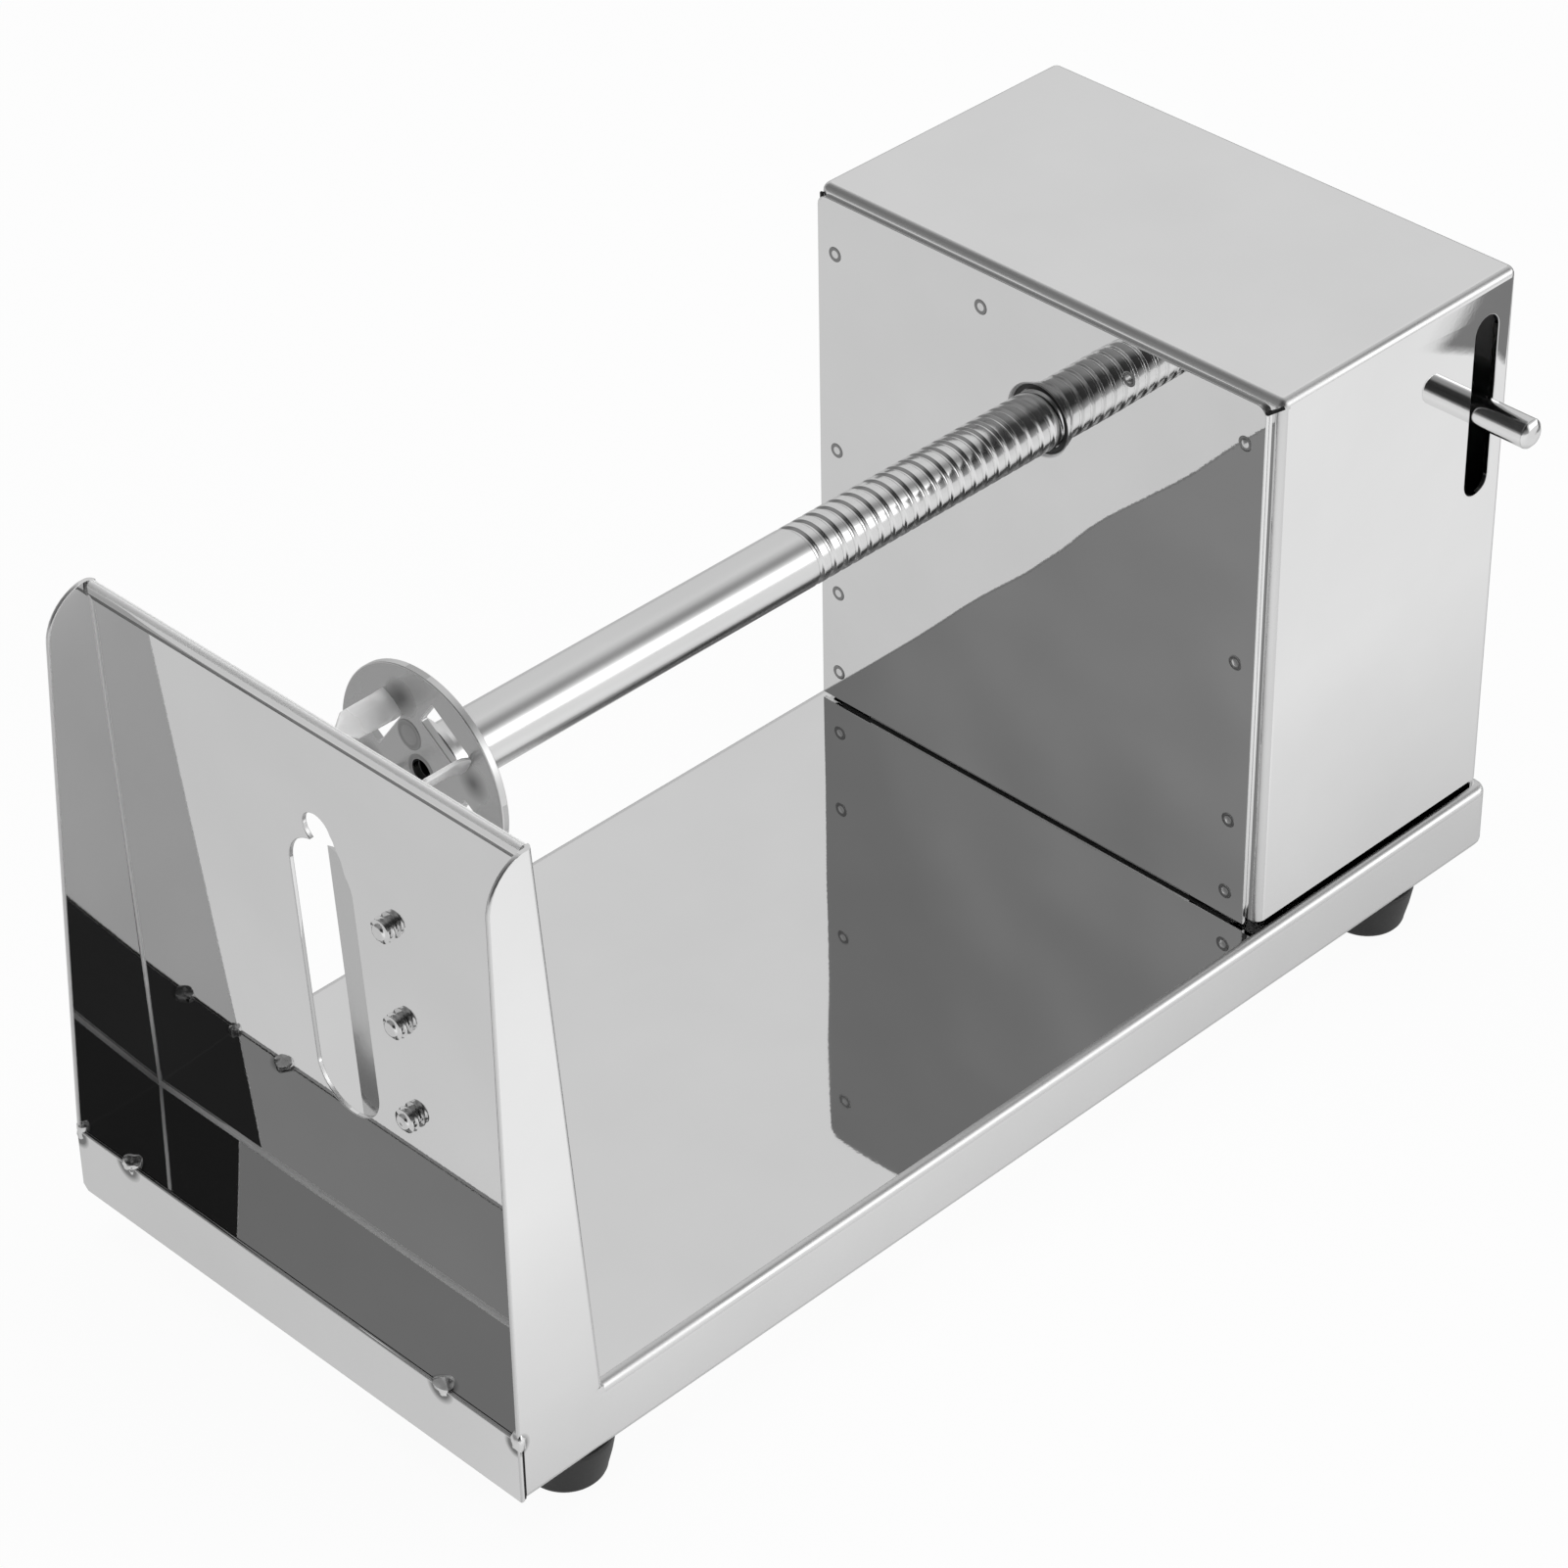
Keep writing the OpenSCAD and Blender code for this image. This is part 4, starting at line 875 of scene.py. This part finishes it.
def panel(front):
    """A panel with rounded corners, a rolled edge round the shaft's hole and a foot turned in below."""
    shape = Shape()
    shift = PANEL_SHIFT if front else 0
    left, right = shift + PANEL_HALF, shift - PANEL_HALF
    r = PANEL_CORNER
    low_end, high_end = shift - PANEL_FOOT, shift + PANEL_FOOT
    outline = ([(right, PANEL_LOW), (low_end - 0.2, PANEL_LOW), (low_end, Z_BASE + SHEET),
                (high_end, Z_BASE + SHEET), (high_end + 0.2, PANEL_LOW), (left, PANEL_LOW)]
               + arc(left - r, PANEL_TOP - r, r, 0, 90) + arc(right + r, PANEL_TOP - r, r, 90, 180))
    hole = arc(0, 0, PANEL_HOLE, 0, 360, 48)[:-1]
    # Rim of the hole: pairs of inset and depth
    rolled = [(2.2, 0), (1.5, 0.03), (0.9, 0.1), (0.45, 0.26), (0.15, 0.55), (0, 1.0), (0, 1.6), (2.2, 1.6),
              (2.2, SHEET)]

    def place(u, v, w):
        return (CASE_X0 + w, u, v) if front else (CASE_X1 - w, u, v)

    flat_sheet(shape, outline, [hole], SHEET, place, rims={1: rolled})
    turned = [(SHEET * (1 - math.cos(a)), Z_BASE + SHEET - SHEET * math.sin(a)) for a in quarter(5)]
    turned += [(PANEL_TURN_IN, Z_BASE), (PANEL_TURN_IN, Z_BASE + SHEET), (SHEET, Z_BASE + SHEET)]
    shape.bar([[place(y, z, w) for w, z in turned] for y in (low_end, high_end)])
    return shape


def panel_spots(front):
    """Spot welds: a low disc inside a dark ring, at shares of the panel's height and width."""
    shape = Shape()
    shift = PANEL_SHIFT if front else 0
    span = PANEL_TOP - Z_BASE
    edge = PANEL_HALF - SPOT_EDGE
    # Down the far side, down the near side and along the top
    places = [(shift + edge, share * span) for share in (0.9, 0.52, 0.23, 0.065)]
    places += [(shift - edge, share * span) for share in (0.92, 0.51, 0.2, 0.055)]
    places += [(shift + (share - 0.5) * 2 * PANEL_HALF, span - SPOT_TOP) for share in (0.62, 0.29)]
    out = -1 if front else 1
    x = CASE_X0 if front else CASE_X1
    for y, up in places:
        lathe(shape, [(0, 2.1), (0.05, 2.05), (0.09, 1.75), (0.09, 1.3), (0.03, 1.1), (0.03, 0)],
              (x, y, Z_BASE + up), (out, 0, 0), 28)
    return shape


def spot_finish(middle, normal):
    """The flat middle of a spot, which lies low, is bright and the ring round it is dark."""
    low = min(abs(middle.x - CASE_X0), abs(middle.x - CASE_X1)) < SPOT_LOW
    return 1 if flat(normal) and low else 0


def gap_shade_slivers():
    """Black slivers that paint the shade in the open mitres between the casing's top and side flanges, and
    in the seam along the panel's foot.
    """
    shape = Shape()
    for side, low, high in MITRES:
        across = Vector((0, side * 0.2, -0.28))
        deep = Vector((0.6, -side * 0.5, -0.3))
        ends = [Vector((CASE_X0 + x, side * y, z)) for x, y, z in (low, high)]
        shape.bar([[end - across, end + across, end + across + deep, end - across + deep] for end in ends])
    front, low, high = CASE_X0 - 0.2, Z_BASE + 0.02, Z_BASE + SHADE_STRIP_H
    section = [(front, low), (front, high), (front + 0.5, high), (front + 0.5, low)]
    shape.bar([[(x, y, z) for x, z in section] for y in (-SHADE_STRIP_HALF, SHADE_STRIP_HALF)])
    return shape


casing().piece("casing_skin", "frame", "polished_sheet", "casing_wrap",
               materials=("polished_sheet", "bent_sheet"), finish=bends)
gap_shade_slivers().piece("mitre_gap_shade", "frame", "polished_sheet", materials=("gap",))
panel(True).piece("front_panel_skin", "frame", "polished_sheet", "front_panel",
                  materials=("panel_sheet", "bent_sheet"), finish=bends)
panel(False).piece("back_panel_skin", "frame", "polished_sheet", "back_panel",
                   materials=("polished_sheet", "bent_sheet"), finish=bends)
panel_spots(True).piece("front_spots", "frame", "welds", "front_spot_welds",
                        materials=("spot_ring", "fasteners"), finish=spot_finish)
panel_spots(False).piece("back_spots", "frame", "welds", "back_spot_welds",
                         materials=("spot_ring", "fasteners"), finish=spot_finish)


# Shaft and disc

def groove_depth(x):
    """Depth of the thread's groove, which fades in and out at the thread's ends."""
    return GROOVE * max(0, min(1, (x - THREAD_START) / FADE_IN, (THREAD_END - x) / PITCH))


def threaded_tube():
    """The shaft with its right handed thread, as rows of points that run along it."""
    shape = Shape()
    steps = 72
    turns = int((THREAD_END - THREAD_START) / PITCH)
    # Corners of one groove: share of the pitch and share of the depth
    groove = [(0.0, 0.0), (0.05, 0.12), (0.12, 0.75), (0.17, 1.0), (0.33, 1.0), (0.38, 0.75), (0.45, 0.12),
              (0.5, 0.0)]
    rows = []
    for k in range(steps + 1):
        a = 2 * math.pi * k / steps
        x0 = THREAD_START + PITCH * k / steps
        row = [(SHAFT_X0, BORE_R), (SHAFT_X0, SHAFT_R), (THREAD_START - THREAD_CLEAR, SHAFT_R)]
        for t in range(turns):
            for share, depth in groove:
                x = x0 + (t + share) * PITCH
                row.append((x, SHAFT_R - depth * groove_depth(x)))
        row += [(THREAD_END + PITCH + THREAD_CLEAR, SHAFT_R), (SHAFT_X1 - SHAFT_CHAMFER, SHAFT_R),
                (SHAFT_X1, SHAFT_R - SHAFT_CHAMFER), (SHAFT_X1, BORE_R)]
        rows.append(shape.add([(x, r * math.cos(a), r * math.sin(a)) for x, r in row]))
    shape.join(rows, closed=True)
    return shape


def disc():
    """Disc with the skewer's hole and four windows, one for each prong; the prongs bent out to the front
    are made in prongs().
    """
    shape = Shape()
    holes = [arc(0, 0, SKEWER_R, 0, 360, 32)[:-1]]
    r = WINDOW_R
    x0, x1 = PRONG_NEAR, PRONG_NEAR + PRONG_W
    y0, y1 = PRONG_ROOT - WINDOW_L, PRONG_ROOT - 0.4
    window = (arc(x1 - r, y1 - r, r, 0, 90, 4) + arc(x0 + r, y1 - r, r, 90, 180, 4)
              + arc(x0 + r, y0 + r, r, 180, 270, 4) + arc(x1 - r, y0 + r, r, 270, 360, 4))
    for k in range(4):
        a = math.radians(PRONG_TURN + 90 * k)
        holes.append([(x * math.cos(a) - y * math.sin(a), x * math.sin(a) + y * math.cos(a))
                      for x, y in window])
    rim = arc(0, 0, DISC_R, 0, 360, 96)[:-1]
    flat_sheet(shape, rim, holes, DISC_T, lambda u, v, w: (w, u, v), edge=0.3)
    return shape


def prongs():
    """Each prong leaves the disc in a bulged bend and runs out to a point, with a low ridge along it."""
    shape = Shape()
    # Distance along the shaft, lift of the bend, share of the width and height of the ridge
    stations = [(1.2, 1.6, 1.0, 0.1), (0.2, 1.0, 1.0, 0.4), (-0.7, 0.5, 1.02, 0.9), (-1.5, 0.2, 1.02, 1.1),
                (-2.5, 0.05, 1.0, 0.8), (-3.6, 0, 1.0, 0.4), (-8, 0, 0.99, 0.3),
                (PRONG_TIP - PRONG_L, 0, 0.97, 0.25), (1.2 - PRONG_L, 0, 0.42, 0.15),
                (-PRONG_L, 0, 0.2, 0.05)]
    mid = PRONG_NEAR + PRONG_W / 2
    for k in range(4):
        turned = Matrix.Rotation(math.radians(PRONG_TURN + 90 * k), 3, "X")
        loops = []
        for x, lift, share, ridge in stations:
            half = PRONG_W / 2 * share
            top = PRONG_ROOT + lift
            low = top - PRONG_T
            section = [(mid - half, low + 0.2), (mid - half, top - 0.3), (mid - half + 0.3, top),
                       (mid - half / 2, top + ridge * 0.75), (mid, top + ridge),
                       (mid + half / 2, top + ridge * 0.75), (mid + half - 0.3, top),
                       (mid + half, top - 0.3), (mid + half, low + 0.2), (mid + half - 0.2, low),
                       (mid, low + ridge * 0.4), (mid - half + 0.2, low)]
            loops.append([turned @ Vector((x, y, z)) for y, z in section])
        shape.bar(loops)
    return shape


def rivets():
    """Flush rivet heads, and the rolled end of the tube round the skewer's hole."""
    shape = Shape()
    head = [(-0.14, 0), (-0.14, 2.5), (-0.02, 2.9), (-0.14, 3.4), (-0.14, 3.6), (-0.02, 3.95), (0.3, 4.0),
            (0.3, 2), (3.5, 2), (3.5, 0)]
    for turn in RIVET_TURNS:
        a = math.radians(turn)
        lathe(shape, head, (0, RIVET_RING * math.cos(a), RIVET_RING * math.sin(a)), steps=36)
    lathe(shape, [(0.3, 3.0), (-0.02, 3.05), (-0.14, 3.65), (-0.02, 4.3), (0.3, 4.35), (0.3, 3.0)])
    return shape


def rivet_finish(middle, normal):
    """Flat faces are the second material, and the rounded rims between them the first."""
    return 1 if flat(normal) else 0


threaded_tube().piece("threaded_tube", "screw", "machined_steel", "lead_screw", sharp=60)
disc().piece("disc_skin", "screw", "polished_sheet", "prong_disc",
             materials=("brushed_sheet", "bent_sheet"), finish=bends)
prongs().piece("prong_blades", "screw", "polished_sheet", "prong_disc", materials=("prong_painted_highlight",),
               sharp=35)
rivets().piece("rivet_heads", "screw", "fasteners", "disc_rivets",
               materials=("spot_ring", "shaded_edge"), finish=rivet_finish)


# Pin and feet

def release_pin():
    """The pin from the yoke inside out through the slot, with a rounded end."""
    shape = Shape()
    r = PIN_R
    length = CASE_HALF + PIN_OUTSIDE - PIN_INSIDE
    lathe(shape, [(0, 0), (0, r), (length - 1.5, r), (length - 1.1, r - 0.15), (length - 0.3, r - 1.1),
                  (length, r - 1.9), (length, 0)], (PIN_X, -PIN_INSIDE, 0), (0, -1, 0))
    return shape


def feet():
    """Rubber feet with a sunk middle for the screw and a rounded lower edge."""
    shape = Shape()
    low = [(2.5 * (1 - math.cos(math.radians(a))), 7.5 + 2.5 * math.sin(math.radians(a)))
           for a in range(0, 91, 15)]
    profile = [(5, 0), (5, 5.2), (0.4, 5.5), (0, 5.9)] + low
    profile += [(7, 11.1), (11.8, 11.95), (12.7, 11.9), (13, 11.5), (13, 0)]
    for x in FOOT_X:
        for y in FOOT_Y:
            lathe(shape, profile, (x, y, Z_FLOOR), (0, 0, 1), 64)
    return shape


release_pin().piece("pin_bar", "release", "machined_steel", "release_pin")
feet().piece("feet_rubber", "frame", "foot_rubber", "rubber_feet")
